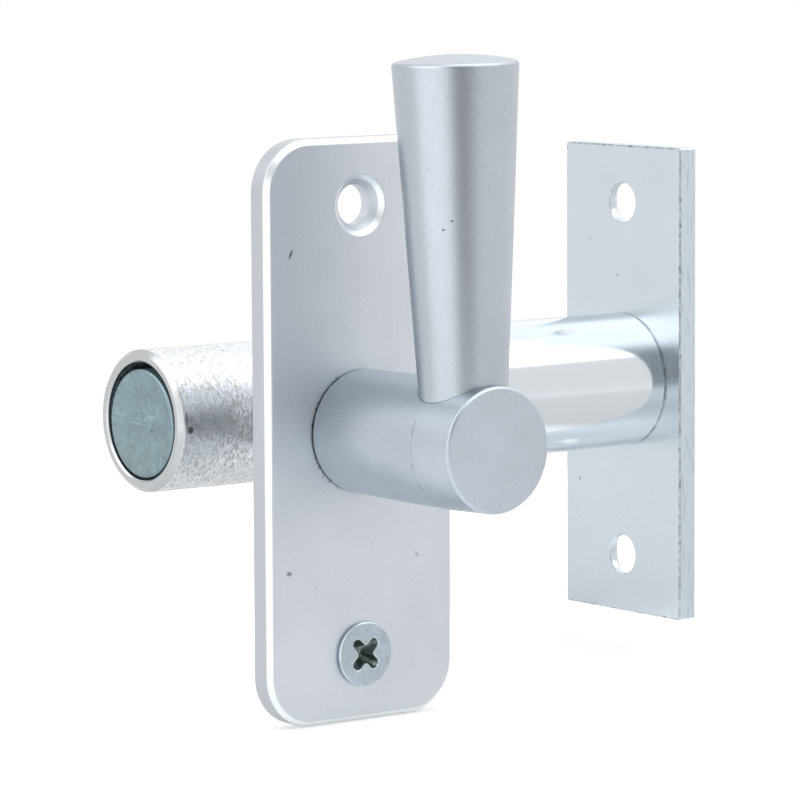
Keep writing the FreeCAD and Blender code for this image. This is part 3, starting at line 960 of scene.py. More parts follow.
def turning_tree() -> GeometryTree:
    """The tree that turns an outline about Z, as a lathe does.

    The base mesh's points hold (radius, 0, height), in order. A grid gets one column for each
    step round the axis and takes its radius and height from the outline.

    Returns:
        The tree.
    """
    tree = GeometryTree("Turned piece", (("Segments", "NodeSocketInt"), ("Finish", "NodeSocketMaterial")))
    outline = tree.given.outputs["Geometry"]
    segments = tree.given.outputs["Segments"]
    count = tree.node("GeometryNodeAttributeDomainSize", {"Geometry": outline}).outputs["Point Count"]
    columns = tree.math("ADD", segments, 1.0)
    grid = tree.node("GeometryNodeMeshGrid", {"Vertices X": columns, "Vertices Y": count}).outputs["Mesh"]
    index = tree.node("GeometryNodeInputIndex").outputs[0]
    column = tree.math("FLOOR", tree.math("DIVIDE", tree.math("ADD", index, 0.5), count))
    row = tree.math("SUBTRACT", index, tree.math("MULTIPLY", column, count))
    position = tree.node("GeometryNodeInputPosition").outputs[0]
    sample = tree.node("GeometryNodeSampleIndex", data_type="FLOAT_VECTOR", domain="POINT")
    tree.tree.links.new(outline, sample.inputs["Geometry"])
    tree.tree.links.new(position, sample.inputs["Value"])
    tree.tree.links.new(row, sample.inputs["Index"])
    split = tree.node("ShaderNodeSeparateXYZ", {0: sample.outputs[0]})
    angle = tree.math("DIVIDE", tree.math("MULTIPLY", column, 2 * math.pi), segments)
    x = tree.math("MULTIPLY", split.outputs[0], tree.math("COSINE", angle))
    y = tree.math("MULTIPLY", split.outputs[0], tree.math("SINE", angle))
    place = tree.node("ShaderNodeCombineXYZ", {"X": x, "Y": y, "Z": split.outputs[2]}).outputs[0]
    moved = tree.node("GeometryNodeSetPosition", {"Geometry": grid, "Position": place}).outputs[0]
    closed = tree.node("GeometryNodeMergeByDistance", {"Geometry": moved, "Distance": 0.0005}).outputs[0]
    tree.close(closed)
    return tree


def row_tree() -> GeometryTree:
    """The tree that repeats a tooth along a line, round an axis, or both.

    Returns:
        The tree.
    """
    inputs = (("Count", "NodeSocketInt"), ("Pitch", "NodeSocketFloat"), ("Turn", "NodeSocketFloat"),
              ("Finish", "NodeSocketMaterial"))
    tree = GeometryTree("Row of teeth", inputs)
    given = tree.given.outputs
    step = tree.node("ShaderNodeCombineXYZ", {"X": given["Pitch"]}).outputs[0]
    line = tree.node("GeometryNodeMeshLine", {"Count": given["Count"], "Offset": step}).outputs[0]
    index = tree.node("GeometryNodeInputIndex").outputs[0]
    turn = tree.node("ShaderNodeCombineXYZ", {"Z": tree.math("MULTIPLY", index, given["Turn"])}).outputs[0]
    teeth = tree.node("GeometryNodeInstanceOnPoints", {
        "Points": line, "Instance": given["Geometry"], "Rotation": turn})
    tree.close(teeth.outputs[0])
    return tree


def thread_tree() -> GeometryTree:
    """The tree that winds a thread's ridge round Z.

    Returns:
        The tree.
    """
    inputs = (("Radius", "NodeSocketFloat"), ("Ridge", "NodeSocketFloat"), ("Turns", "NodeSocketFloat"),
              ("Height", "NodeSocketFloat"), ("Finish", "NodeSocketMaterial"))
    tree = GeometryTree("Thread", inputs)
    given = tree.given.outputs
    spiral = tree.node("GeometryNodeCurveSpiral", {
        "Resolution": THREAD_STEPS, "Rotations": given["Turns"], "Start Radius": given["Radius"],
        "End Radius": given["Radius"], "Height": given["Height"]})
    upright = tree.node("GeometryNodeSetCurveNormal", {"Curve": spiral.outputs[0]}, mode="Z_UP")
    ridge = tree.node("GeometryNodeCurvePrimitiveCircle", {
        "Resolution": RIDGE_CORNERS, "Radius": given["Ridge"]})
    swept = tree.node("GeometryNodeCurveToMesh", {
        "Curve": upright.outputs[0], "Profile Curve": ridge.outputs[0], "Fill Caps": True})
    tree.close(swept.outputs[0])
    return tree


def placed(name: str, data: bpy.types.ID) -> bpy.types.Object:
    """A new object of the scene, at the origin.

    Args:
        name: the object's name.
        data: its mesh, camera or lamp.

    Returns:
        The object.
    """
    made = bpy.data.objects.new(name, data)
    bpy.context.scene.collection.objects.link(made)
    return made


def evaluated(piece: bpy.types.Object) -> bpy.types.Mesh:
    """A piece's mesh with its modifiers worked out.

    Args:
        piece: an object of the scene.

    Returns:
        A new plain mesh.
    """
    graph = bpy.context.evaluated_depsgraph_get()
    return bpy.data.meshes.new_from_object(piece.evaluated_get(graph), depsgraph=graph)


def outward(mesh: bpy.types.Mesh) -> bpy.types.Mesh:
    """Merge a mesh's doubles and turn its faces outwards.

    Args:
        mesh: a closed mesh in millimetres.

    Returns:
        The same mesh.
    """
    work = bmesh.new()
    work.from_mesh(mesh)
    bmesh.ops.remove_doubles(work, verts=work.verts, dist=MERGE)
    bmesh.ops.dissolve_degenerate(work, edges=work.edges, dist=THINNEST)
    bmesh.ops.recalc_face_normals(work, faces=work.faces)
    work.to_mesh(mesh)
    work.free()
    return mesh


def solid(name: str, points: Sequence[Vector], faces: Iterable[Sequence[int]]) -> bpy.types.Mesh:
    """A closed mesh from points and faces.

    Args:
        name: the mesh's name.
        points: its points, in millimetres.
        faces: point numbers of each face.

    Returns:
        The mesh, its faces outwards.
    """
    mesh = bpy.data.meshes.new(name)
    mesh.from_pydata([tuple(p) for p in points], [], [tuple(f) for f in faces])
    return outward(mesh)


def skinned(name: str, rings: Sequence[Sequence[Vector]]) -> bpy.types.Mesh:
    """A closed mesh over rings of equally many points, with a face across each end.

    Args:
        name: the mesh's name.
        rings: the rings in order.

    Returns:
        The mesh.
    """
    count = len(rings[0])
    last = count * (len(rings) - 1)
    faces: list[tuple[int, ...]] = []
    for base in range(0, last, count):
        for i in range(count):
            j = (i + 1) % count
            faces.append((base + i, base + j, base + j + count, base + i + count))
    faces += [tuple(range(count)), tuple(range(last, last + count))]
    return solid(name, [point for ring in rings for point in ring], faces)


def prism(name: str, corners: Outline, low: float, high: float) -> bpy.types.Mesh:
    """An outline in XY raised along Z.

    Args:
        name: the mesh's name.
        corners: the outline.
        low: height of its lower end.
        high: height of its upper end.

    Returns:
        The mesh.
    """
    return skinned(name, [[Vector((x, y, z)) for x, y in corners] for z in (low, high)])


def square(side: float) -> Outline:
    """The corners of a square about the origin."""
    half = side / 2
    return [(-half, -half), (half, -half), (half, half), (-half, half)]


def eased(outline: Outline, radii: dict[int, float], closed: bool = False, steps: int = 4) -> Outline:
    """Round chosen corners of an outline.

    Args:
        outline: the corners in order.
        radii: a radius for each corner's number that is rounded.
        closed: True where the last corner joins the first.
        steps: straight steps in each arc.

    Returns:
        The outline with its arcs, and with its first point repeated last where it is closed.
    """
    made: Outline = []
    count = len(outline)
    for number, corner in enumerate(outline):
        radius = radii.get(number, 0.0)
        inner = closed or 0 < number < count - 1
        if not radius or not inner:
            made.append(corner)
            continue
        here = Vector(corner)
        before = (Vector(outline[number - 1]) - here).normalized()
        after = (Vector(outline[(number + 1) % count]) - here).normalized()
        half = before.angle(after) / 2
        centre = here + (before + after).normalized() * (radius / math.sin(half))
        start = here + before * (radius / math.tan(half)) - centre
        end = here + after * (radius / math.tan(half)) - centre
        sweep = start.angle_signed(end)
        for step in range(steps + 1):
            turned = start.copy()
            turned.rotate(Matrix.Rotation(-sweep * step / steps, 2))
            made.append(tuple(centre + turned))
    return made + made[:1] if closed else made


def rounded_loop(half_w: float, half_h: float, radius: float, steps: int) -> Outline:
    """A rectangle with round corners, counter-clockwise.

    Args:
        half_w: half its width.
        half_h: half its height.
        radius: its corners' radius.
        steps: straight steps in each corner.

    Returns:
        The loop's points.
    """
    loop = []
    for quarter, (sx, sy) in enumerate(((1, 1), (-1, 1), (-1, -1), (1, -1))):
        for step in range(steps + 1):
            angle = math.pi / 2 * (quarter + step / steps)
            loop.append((sx * (half_w - radius) + radius * math.cos(angle),
                         sy * (half_h - radius) + radius * math.sin(angle)))
    return loop


def plate_mesh(name: str, width: float, height: float, corner_r: float, side: Outline,
               steps: int) -> bpy.types.Mesh:
    """A flat plate in XY whose edge follows an outline of (inset, z).

    Args:
        name: the mesh's name.
        width: its width.
        height: its height.
        corner_r: its corners' radius.
        side: the edge's outline from one face to the other.
        steps: straight steps in each corner.

    Returns:
        The mesh.
    """
    rings: list[list[Vector]] = []
    for inset, z in side:
        radius = max(corner_r - inset, LEAST_R)
        loop = rounded_loop(width / 2 - inset, height / 2 - inset, radius, steps)
        rings.append([Vector((x, y, z)) for x, y in loop])
    return skinned(name, rings)


def at(x: float = 0.0, y: float = 0.0, z: float = 0.0) -> Matrix:
    """A move, in millimetres."""
    return Matrix.Translation((x, y, z))


class Workshop:
    """Turns, cuts, joins and dresses the meshes, and sets the finished pieces in place."""

    def __init__(self) -> None:
        """Build the Geometry Nodes trees once."""
        self.turning = turning_tree()
        self.rows = row_tree()
        self.threads = thread_tree()
        self.faces: list[int] = []

    def turned(self, name: str, outline: Outline, place: Matrix,
               steps: Steps = Steps.TURNED) -> bpy.types.Mesh:
        """Turn an outline of (height, radius) on the lathe tree and place the result.

        Args:
            name: the mesh's name.
            outline: points along the axis; off the axis, its last point repeats its first.
            place: where it goes, in the part's millimetres.
            steps: steps round the axis.

        Returns:
            The mesh.
        """
        base = bpy.data.meshes.new(name)
        edges = [(i, i + 1) for i in range(len(outline) - 1)]
        base.from_pydata([(radius, 0.0, along) for along, radius in outline], edges, [])
        mesh = self.turning.run(name, base, {"Segments": steps.value})
        mesh.materials.clear()
        mesh = outward(mesh)
        mesh.transform(place)
        return mesh

    def thread(self, name: str, values: dict[str, float]) -> bpy.types.Mesh:
        """Wind a thread's ridge round Z, from the origin up.

        Args:
            name: the mesh's name.
            values: its Radius, Ridge, Turns and Height.

        Returns:
            The mesh.
        """
        return outward(self.threads.run(name, bpy.data.meshes.new("thread"), values))

    def combined(self, body: bpy.types.Mesh, tools: Sequence[bpy.types.Mesh],
                 cut: Cut = Cut.AWAY) -> bpy.types.Mesh:
        """Cut tools out of a mesh, or keep what it shares with them.

        Args:
            body: the mesh.
            tools: the meshes that act on it.
            cut: what is left.

        Returns:
            The result.
        """
        work = placed("work", body)
        helpers = [work]
        for number, tool in enumerate(tools):
            helper = placed(f"tool_{number}", tool)
            helpers.append(helper)
            step = work.modifiers.new(f"Cut {number}", "BOOLEAN")
            step.object = helper
            step.operation = cut.value
            step.solver = "EXACT"
        made = evaluated(work)
        for helper in helpers:
            bpy.data.objects.remove(helper)
        return made

    def finished(self, name: str, mesh: bpy.types.Mesh, finish: Finish, body: Body,
                 nodes: Sequence[str] = (), bevel: float = 0.0, sharp: float = 34.0) -> None:
        """Make a piece of the scene: bevelled, smooth, dressed, in metres and riding on its body.

        Args:
            name: the piece's name.
            mesh: its mesh, in the part's millimetres.
            finish: its finish.
            body: what it rides on.
            nodes: the nodes of the part that it stands for.
            bevel: width of a small round on its sharp edges.
            sharp: degrees past which an edge counts as sharp.
        """
        mesh.materials.clear()
        mesh.materials.append(finish.material())
        for face in mesh.polygons:
            face.material_index = 0
        piece = placed(name, mesh)
        if bevel:
            step = piece.modifiers.new("Ease", "BEVEL")
            step.width = bevel
            step.segments = 2
            step.limit_method = "ANGLE"
            step.angle_limit = math.radians(sharp)
            step.miter_outer = "MITER_ARC"
        mesh.shade_smooth()
        mesh.set_sharp_from_angle(angle=math.radians(BEVELLED_SHARP if bevel else sharp))
        weigh = piece.modifiers.new("Even", "WEIGHTED_NORMAL")
        weigh.keep_sharp = True
        piece.data = evaluated(piece)
        piece.modifiers.clear()
        piece.data.name = name
        piece.data.transform(Matrix.Scale(MM, 4))
        if nodes:
            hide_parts(*nodes)
        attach(piece, body.value)
        count = len(piece.data.polygons)
        self.faces.append(count)
        log.info("%s on %s: %d faces, %s", name, body.value, count, finish.name)

    def dressed(self, node: str, finish: Finish) -> None:
        """Give a node of the part a better material and leave its shape.

        Args:
            node: the node's name.
            finish: its finish.
        """
        target = frame["nodes"][node]
        for slot in target.material_slots:
            slot.material = finish.material()
        log.info("%s keeps its shape, %s", node, finish.name)


@dataclass
class FrontPlate:
    """The plate on the door's face, its bush, its spring and washer, and its lower screw."""

    shop: Workshop
    width: float = 39.5
    height: float = 100.0
    thickness: float = 4.5
    corner_r: float = 9.0
    chamfer: float = 1.0
    edge_r: float = 0.14
    back_bevel: float = 0.2
    hole_r: float = 3.45
    sink_r: float = 5.35
    hole_ease: float = 0.15
    mouth_ease: float = 0.06
    mouth_lip: float = 0.08
    bore_r: float = 7.5
    recess_r: float = 10.5
    recess_depth: float = 2.9
    spigot_r: float = 6.0
    flange_r: float = 10.0
    flange: float = 0.5
    spring_r: float = 9.0
    spring_sheet: float = 0.4
    spring_cone: float = 0.3
    washer_r: float = 8.8
    washer_thickness: float = 0.4

    def build(self) -> None:
        """Build and dress every piece of the front plate."""
        self.plate()
        self.bearing()
        CrossScrew(self.shop).build()

    def hole(self, z: float) -> bpy.types.Mesh:
        """The cutter of one countersunk hole, with its edges eased.

        Args:
            z: the hole's height.

        Returns:
            The cutter.
        """
        front = self.thickness
        sink = front - (self.sink_r - self.hole_r)
        back_r = self.hole_r + self.hole_ease
        lip_r = self.sink_r + self.mouth_lip
        outline = [(-PAST, 0.0), (-PAST, back_r), (0.0, back_r), (self.hole_ease, self.hole_r),
                   (sink, self.hole_r), (front - self.mouth_ease, self.sink_r - self.mouth_ease),
                   (front, lip_r), (front + PAST, lip_r), (front + PAST, 0.0)]
        outline = eased(outline, {4: 0.25, 5: 0.12})
        place = at(LAYOUT.axis_x, LAYOUT.plate_back_y, z) @ Way.FACE_OUT.matrix()
        return self.shop.turned("plate_hole", outline, place, Steps.HOLE)

    def plate(self) -> None:
        """Build the plate with its chamfered front edge, its two holes and its stepped bore."""
        front = self.thickness
        side = [(3.0, 0.0), (self.back_bevel, 0.0), (0.0, self.back_bevel),
                (0.0, front - self.chamfer), (self.chamfer, front), (4.0, front)]
        side = eased(side, {2: 0.15, 3: self.edge_r * 2, 4: self.edge_r * 2.5})
        place = at(LAYOUT.axis_x, LAYOUT.plate_back_y, 0) @ Way.FACE_OUT.matrix()
        mesh = plate_mesh("front_plate_fine", self.width, self.height, self.corner_r, side, 24)
        mesh.transform(place)
        back_r = self.recess_r + self.hole_ease
        bore = [(-PAST, 0.0), (-PAST, back_r), (0.0, back_r), (self.hole_ease, self.recess_r),
                (self.recess_depth, self.recess_r), (self.recess_depth, self.bore_r),
                (front + PAST, self.bore_r), (front + PAST, 0.0)]
        cutters = [self.hole(LAYOUT.screw_z), self.hole(-LAYOUT.screw_z),
                   self.shop.turned("plate_bore", bore, place, Steps.HOLE)]
        mesh = self.shop.combined(mesh, cutters)
        self.shop.finished("front_plate_fine", mesh, PLATE_SATIN, Body.CASE, ["front_plate"])

    def bearing(self) -> None:
        """Build the nylon bush, the coned spring and the washer in the plate's recess."""
        front = LAYOUT.plate_front_y
        floor = LAYOUT.plate_back_y - self.recess_depth
        tight = self.spigot_r + LAYOUT.running_gap
        loose = self.spigot_r + 2 * LAYOUT.running_gap
        sleeve_r = self.bore_r - LAYOUT.seat_gap
        spring_y = floor + self.flange
        cone_y = spring_y + self.spring_cone
        washer_y = spring_y + self.spring_sheet + self.spring_cone
        end_y = washer_y + self.washer_thickness
        bush = [(front, tight), (front, sleeve_r), (floor, sleeve_r), (floor, self.flange_r),
                (spring_y, self.flange_r), (spring_y, tight)]
        spring = [(spring_y, self.spring_r), (spring_y + self.spring_sheet, self.spring_r),
                  (washer_y, loose), (cone_y, loose)]
        washer = [(washer_y, loose), (washer_y, self.washer_r), (end_y, self.washer_r),
                  (end_y, loose)]
        fine = dict.fromkeys(range(4), 0.06)
        pieces = (
            ("plate_bush", eased(bush, {0: 0.12, 1: 0.12, 3: 0.1, 4: 0.1}, closed=True), NYLON),
            ("disc_spring", eased(spring, fine, closed=True, steps=2), SPRING),
            ("thrust_washer", eased(washer, fine, closed=True, steps=2), SPRING),
        )
        for node, outline, finish in pieces:
            mesh = self.shop.turned(f"{node}_fine", outline, LAYOUT.on_axis(), Steps.HOLE)
            self.shop.finished(f"{node}_fine", mesh, finish, Body.CASE, [node])


@dataclass
class CrossScrew:
    """The countersunk screw in the plate's lower hole."""

    shop: Workshop
    head_r: float = 5.53
    mouth_r: float = 5.35
    rim: float = 0.7
    shank_r: float = 3.0
    core_r: float = 2.5
    length: float = 25.0
    plain: float = 3.0
    step: float = 0.5
    tip: float = 1.0
    pitch: float = 1.0
    ridge: float = 0.46
    span: float = 6.9
    floor_span: float = 2.6
    wing: float = 1.9
    floor_wing: float = 1.0
    fillet: float = 0.6
    depth: float = 3.0
    edge: float = 0.17
    turn: float = 45.0

    def build(self) -> None:
        """Build the screw and wind its thread."""
        top = LAYOUT.plate_front_y - (self.head_r - self.mouth_r) - self.rim
        seat = top + self.rim
        neck = seat + self.head_r - self.shank_r
        start = neck + self.plain
        end = top + self.length
        outline = [(top, 0.0), (top, self.head_r), (seat, self.head_r), (neck, self.shank_r),
                   (start - self.step, self.shank_r), (start, self.core_r),
                   (end - self.tip, self.core_r), (end, self.core_r - self.tip), (end, 0.0)]
        outline = eased(outline, {1: 0.3, 2: 0.12, 3: 0.3, 7: 0.15})
        place = at(LAYOUT.axis_x, 0, -LAYOUT.screw_z)
        along = place @ Way.ALONG_Y.matrix()
        mesh = self.shop.turned("plate_screw_fine", outline, along, Steps.HOLE)
        mesh = self.shop.combined(mesh, [self.recess(top, place)])
        self.shop.finished("plate_screw_fine", mesh, SCREW_ZINC, Body.CASE, ["plate_screw"],
                           sharp=40.0)
        height = end - self.tip - start
        values = {"Radius": self.core_r + 0.02, "Ridge": self.ridge, "Turns": height / self.pitch,
                  "Height": height}
        thread = self.shop.thread("plate_screw_thread", values)
        thread.transform(along @ at(z=start))
        self.shop.finished("plate_screw_thread", thread, SCREW_ZINC, Body.CASE, ["plate_screw"],
                           sharp=70.0)

    def cross(self, share: float, wider: float = 0.0) -> Outline:
        """The recess's outline at a share of its depth, with round wing ends and filleted inner corners.

        Args:
            share: 0 at the head's face, 1 at the recess's floor.
            wider: how far the outline is let out on every side.

        Returns:
            The closed outline.
        """
        reach = (self.span + (self.floor_span - self.span) * share) / 2 + wider
        half = (self.wing + (self.floor_wing - self.wing) * share) / 2 + wider
        wing = [(reach - half * (1 - math.cos(a)), half * math.sin(a))
                for a in (math.radians(v) for v in (-90, -60, -30, 0, 30, 60, 90))]
        fillet = self.fillet * (1 - share * 0.5)
        wing += [(half + fillet * (1 - math.sin(a)), half + fillet * (1 - math.cos(a)))
                 for a in (math.radians(v) for v in (0, 30, 60, 90))]
        outline: Outline = []
        for quarter in range(4):
            a = math.radians(self.turn + 90.0 * quarter)
            sine, cosine = math.sin(a), math.cos(a)
            outline += [(x * cosine - y * sine, x * sine + y * cosine) for x, y in wing]
        return outline

    def recess(self, top: float, place: Matrix) -> bpy.types.Mesh:
        """The cutter of the cross recess, with its mouth eased and a conical floor.

        Args:
            top: the head's outer face.
            place: the screw's place.

        Returns:
            The cutter.
        """
        levels = ((-0.5, 0.0, self.edge), (0.0, 0.0, self.edge), (0.05, 0.0, 0.02), (0.12, 0.02, 0.0),
                  (1.2, 0.28, 0.0), (2.2, 0.66, 0.0), (self.depth - 0.15, 1.0, 0.0),
                  (self.depth, 1.0, -0.2))
        rings = [[Vector((x, top + depth, z)) for x, z in self.cross(share, wider)]
                 for depth, share, wider in levels]
        cutter = skinned("recess", rings)
        cutter.transform(place)
        return cutter


@dataclass
class Handle:
    """The hub, the lever, its stud and the spindle, all of which turn together."""

    shop: Workshop
    base_y: float = -36.1
    end_y: float = -73.3
    flare_y: float = -55.8
    flare_steps: int = 10
    base_r: float = 10.55
    end_r: float = 10.6
    chamfer: float = 0.4
    seam_depth: float = 0.05
    seam_half: float = 0.12
    spigot_r: float = 6.0
    spigot_end_y: float = -31.0
    groove: tuple[float, float] = (-32.6, -31.5)
    groove_r: float = 5.6
    end_wall: float = 4.3
    crown: float = 1.197
    crown_steps: int = 8
    rim_r: float = 0.8
    stud_top: float = 22.55
    stud_room: float = 0.3
    stud_tip: float = 0.6
    thread_depth: float = 0.42
    ridge: float = 0.4
    spindle_front_y: float = -68.7
    spindle_back_y: float = -11.44
    spindle_chamfer: float = 0.5

    def build(self) -> None:
        """Build and dress every piece of the handle."""
        self.hub()
        self.lever()
        self.stud()
        self.spindle()
        self.shop.dressed("retaining_ring", SPRING)

    def barrel(self) -> Outline:
        """The hub's outer outline from its base to its end, off the axis."""
        waist_r = LAYOUT.hub_waist_r
        flare = []
        for step in range(self.flare_steps + 1):
            share = step / self.flare_steps
            y = self.base_y + (self.flare_y - self.base_y) * share
            flare.append((y, self.base_r + (waist_r - self.base_r) * share * (2 - share)))
        half = self.seam_half
        return flare + [(LAYOUT.seam_y + half, waist_r), (LAYOUT.seam_y, waist_r - self.seam_depth),
                        (LAYOUT.seam_y - half, waist_r), (self.end_y + self.chamfer, self.end_r),
                        (self.end_y, self.end_r - self.chamfer)]

    def hub(self) -> None:
        """Build the hub with its grooved spigot, its square socket and the stud's hole."""
        front, back = self.groove
        spigot = [(self.spigot_end_y, 0.0), (self.spigot_end_y, self.spigot_r), (back, self.spigot_r),
                  (back, self.groove_r), (front, self.groove_r), (front, self.spigot_r),
                  (self.base_y, self.spigot_r)]
        outline = spigot + self.barrel() + [(self.end_y, 0.0)]
        last = len(outline) - 2
        outline = eased(outline, {1: 0.2, len(spigot): 0.12, last: 0.22, last - 1: 0.3})
        place = LAYOUT.leaned() @ at(LAYOUT.axis_x)
        along = place @ Way.ALONG_Y.matrix()
        mesh = self.shop.turned("hub_fine", outline, along, Steps.WIDE)
        socket = prism("hub_socket", square(LAYOUT.socket_side), self.end_y + self.end_wall,
                       self.spigot_end_y + PAST)
        socket.transform(along)
        hole = self.shop.turned("hub_stud_hole", self.stud_hole(LAYOUT.hub_waist_r + 2 * PAST),
                                place @ at(y=LAYOUT.lever_y), Steps.SMALL)
        mesh = self.shop.combined(mesh, [socket, hole])
        self.shop.finished("hub_fine", mesh, HUB_SATIN, Body.HANDLE, ["hub"], sharp=38.0)

    def stud_hole(self, top: float) -> Outline:
        """The stud's hole from the hub's axis up to a height."""
        radius = LAYOUT.stud_r + LAYOUT.seat_gap
        return [(0.0, 0.0), (0.0, radius), (top, radius), (top, 0.0)]

    def lever(self) -> None:
        """Build the tapered lever with its crowned top, and cut its foot to the hub."""
        waist_r, tip_r, reach = LAYOUT.hub_waist_r, LAYOUT.lever_tip_r, LAYOUT.lever_reach
        start = waist_r / 2
        start_r = LAYOUT.lever_foot_r - LAYOUT.lever_taper * (waist_r - start)
        outline = [(start, 0.0), (start, start_r), (reach, tip_r)]
        for step in range(1, self.crown_steps + 1):
            radius = tip_r * (1 - step / self.crown_steps)
            outline.append((reach + self.crown - self.crown * (radius / tip_r) ** 2, radius))
        outline = eased(outline, {2: self.rim_r}, steps=6)
        place = LAYOUT.leaned() @ at(LAYOUT.axis_x, LAYOUT.lever_y, 0)
        mesh = self.shop.turned("lever_fine", outline, place, Steps.WIDE)
        plain = [p for p in self.barrel() if abs(p[0] - LAYOUT.seam_y) > self.seam_half / 2]
        barrel = [(self.base_y, 0.0), *plain, (self.end_y, 0.0)]
        along = LAYOUT.leaned() @ at(LAYOUT.axis_x) @ Way.ALONG_Y.matrix()
        seat = self.shop.turned("lever_seat", barrel, along, Steps.WIDE)
        hole = self.shop.turned("lever_stud_hole", self.stud_hole(self.stud_top + self.stud_room),
                                place, Steps.SMALL)
        mesh = self.shop.combined(mesh, [seat, hole])
        self.shop.finished("lever_fine", mesh, LEVER_SATIN, Body.HANDLE, ["lever"], bevel=0.22,
                           sharp=42.0)

    def stud(self) -> None:
        """Build the headless stud that holds the lever, with its thread."""
        foot, top, tip = LAYOUT.spindle_side / 2, self.stud_top, self.stud_tip
        core = LAYOUT.stud_r - self.thread_depth
        outline = [(foot, 0.0), (foot, core - tip), (foot + tip, core), (top - tip, core),
                   (top, core - tip), (top, 0.0)]
        place = LAYOUT.leaned() @ at(LAYOUT.axis_x, LAYOUT.lever_y, 0)
        mesh = self.shop.turned("lever_stud_fine", outline, place, Steps.SMALL)
        self.shop.finished("lever_stud_fine", mesh, MACHINED, Body.HANDLE, ["lever_stud"])
        bare = tip + 0.2
        height = top - foot - 2 * bare
        values = {"Radius": core, "Ridge": self.ridge, "Turns": height, "Height": height}
        thread = self.shop.thread("lever_stud_thread", values)
        thread.transform(place @ at(z=foot + bare))
        self.shop.finished("lever_stud_thread", thread, MACHINED, Body.HANDLE, ["lever_stud"],
                           sharp=70.0)

    def spindle(self) -> None:
        """Build the square spindle with its chamfered ends."""
        front, back, chamfer = self.spindle_front_y, self.spindle_back_y, self.spindle_chamfer
        side = [(chamfer, front), (0.0, front + chamfer), (0.0, back - chamfer), (chamfer, back)]
        mesh = plate_mesh("spindle_fine", LAYOUT.spindle_side, LAYOUT.spindle_side, 0.25, side, 4)
        mesh.transform(LAYOUT.leaned() @ at(LAYOUT.axis_x) @ Way.ALONG_Y.matrix())
        self.shop.finished("spindle_fine", mesh, MACHINED, Body.HANDLE, ["spindle"])


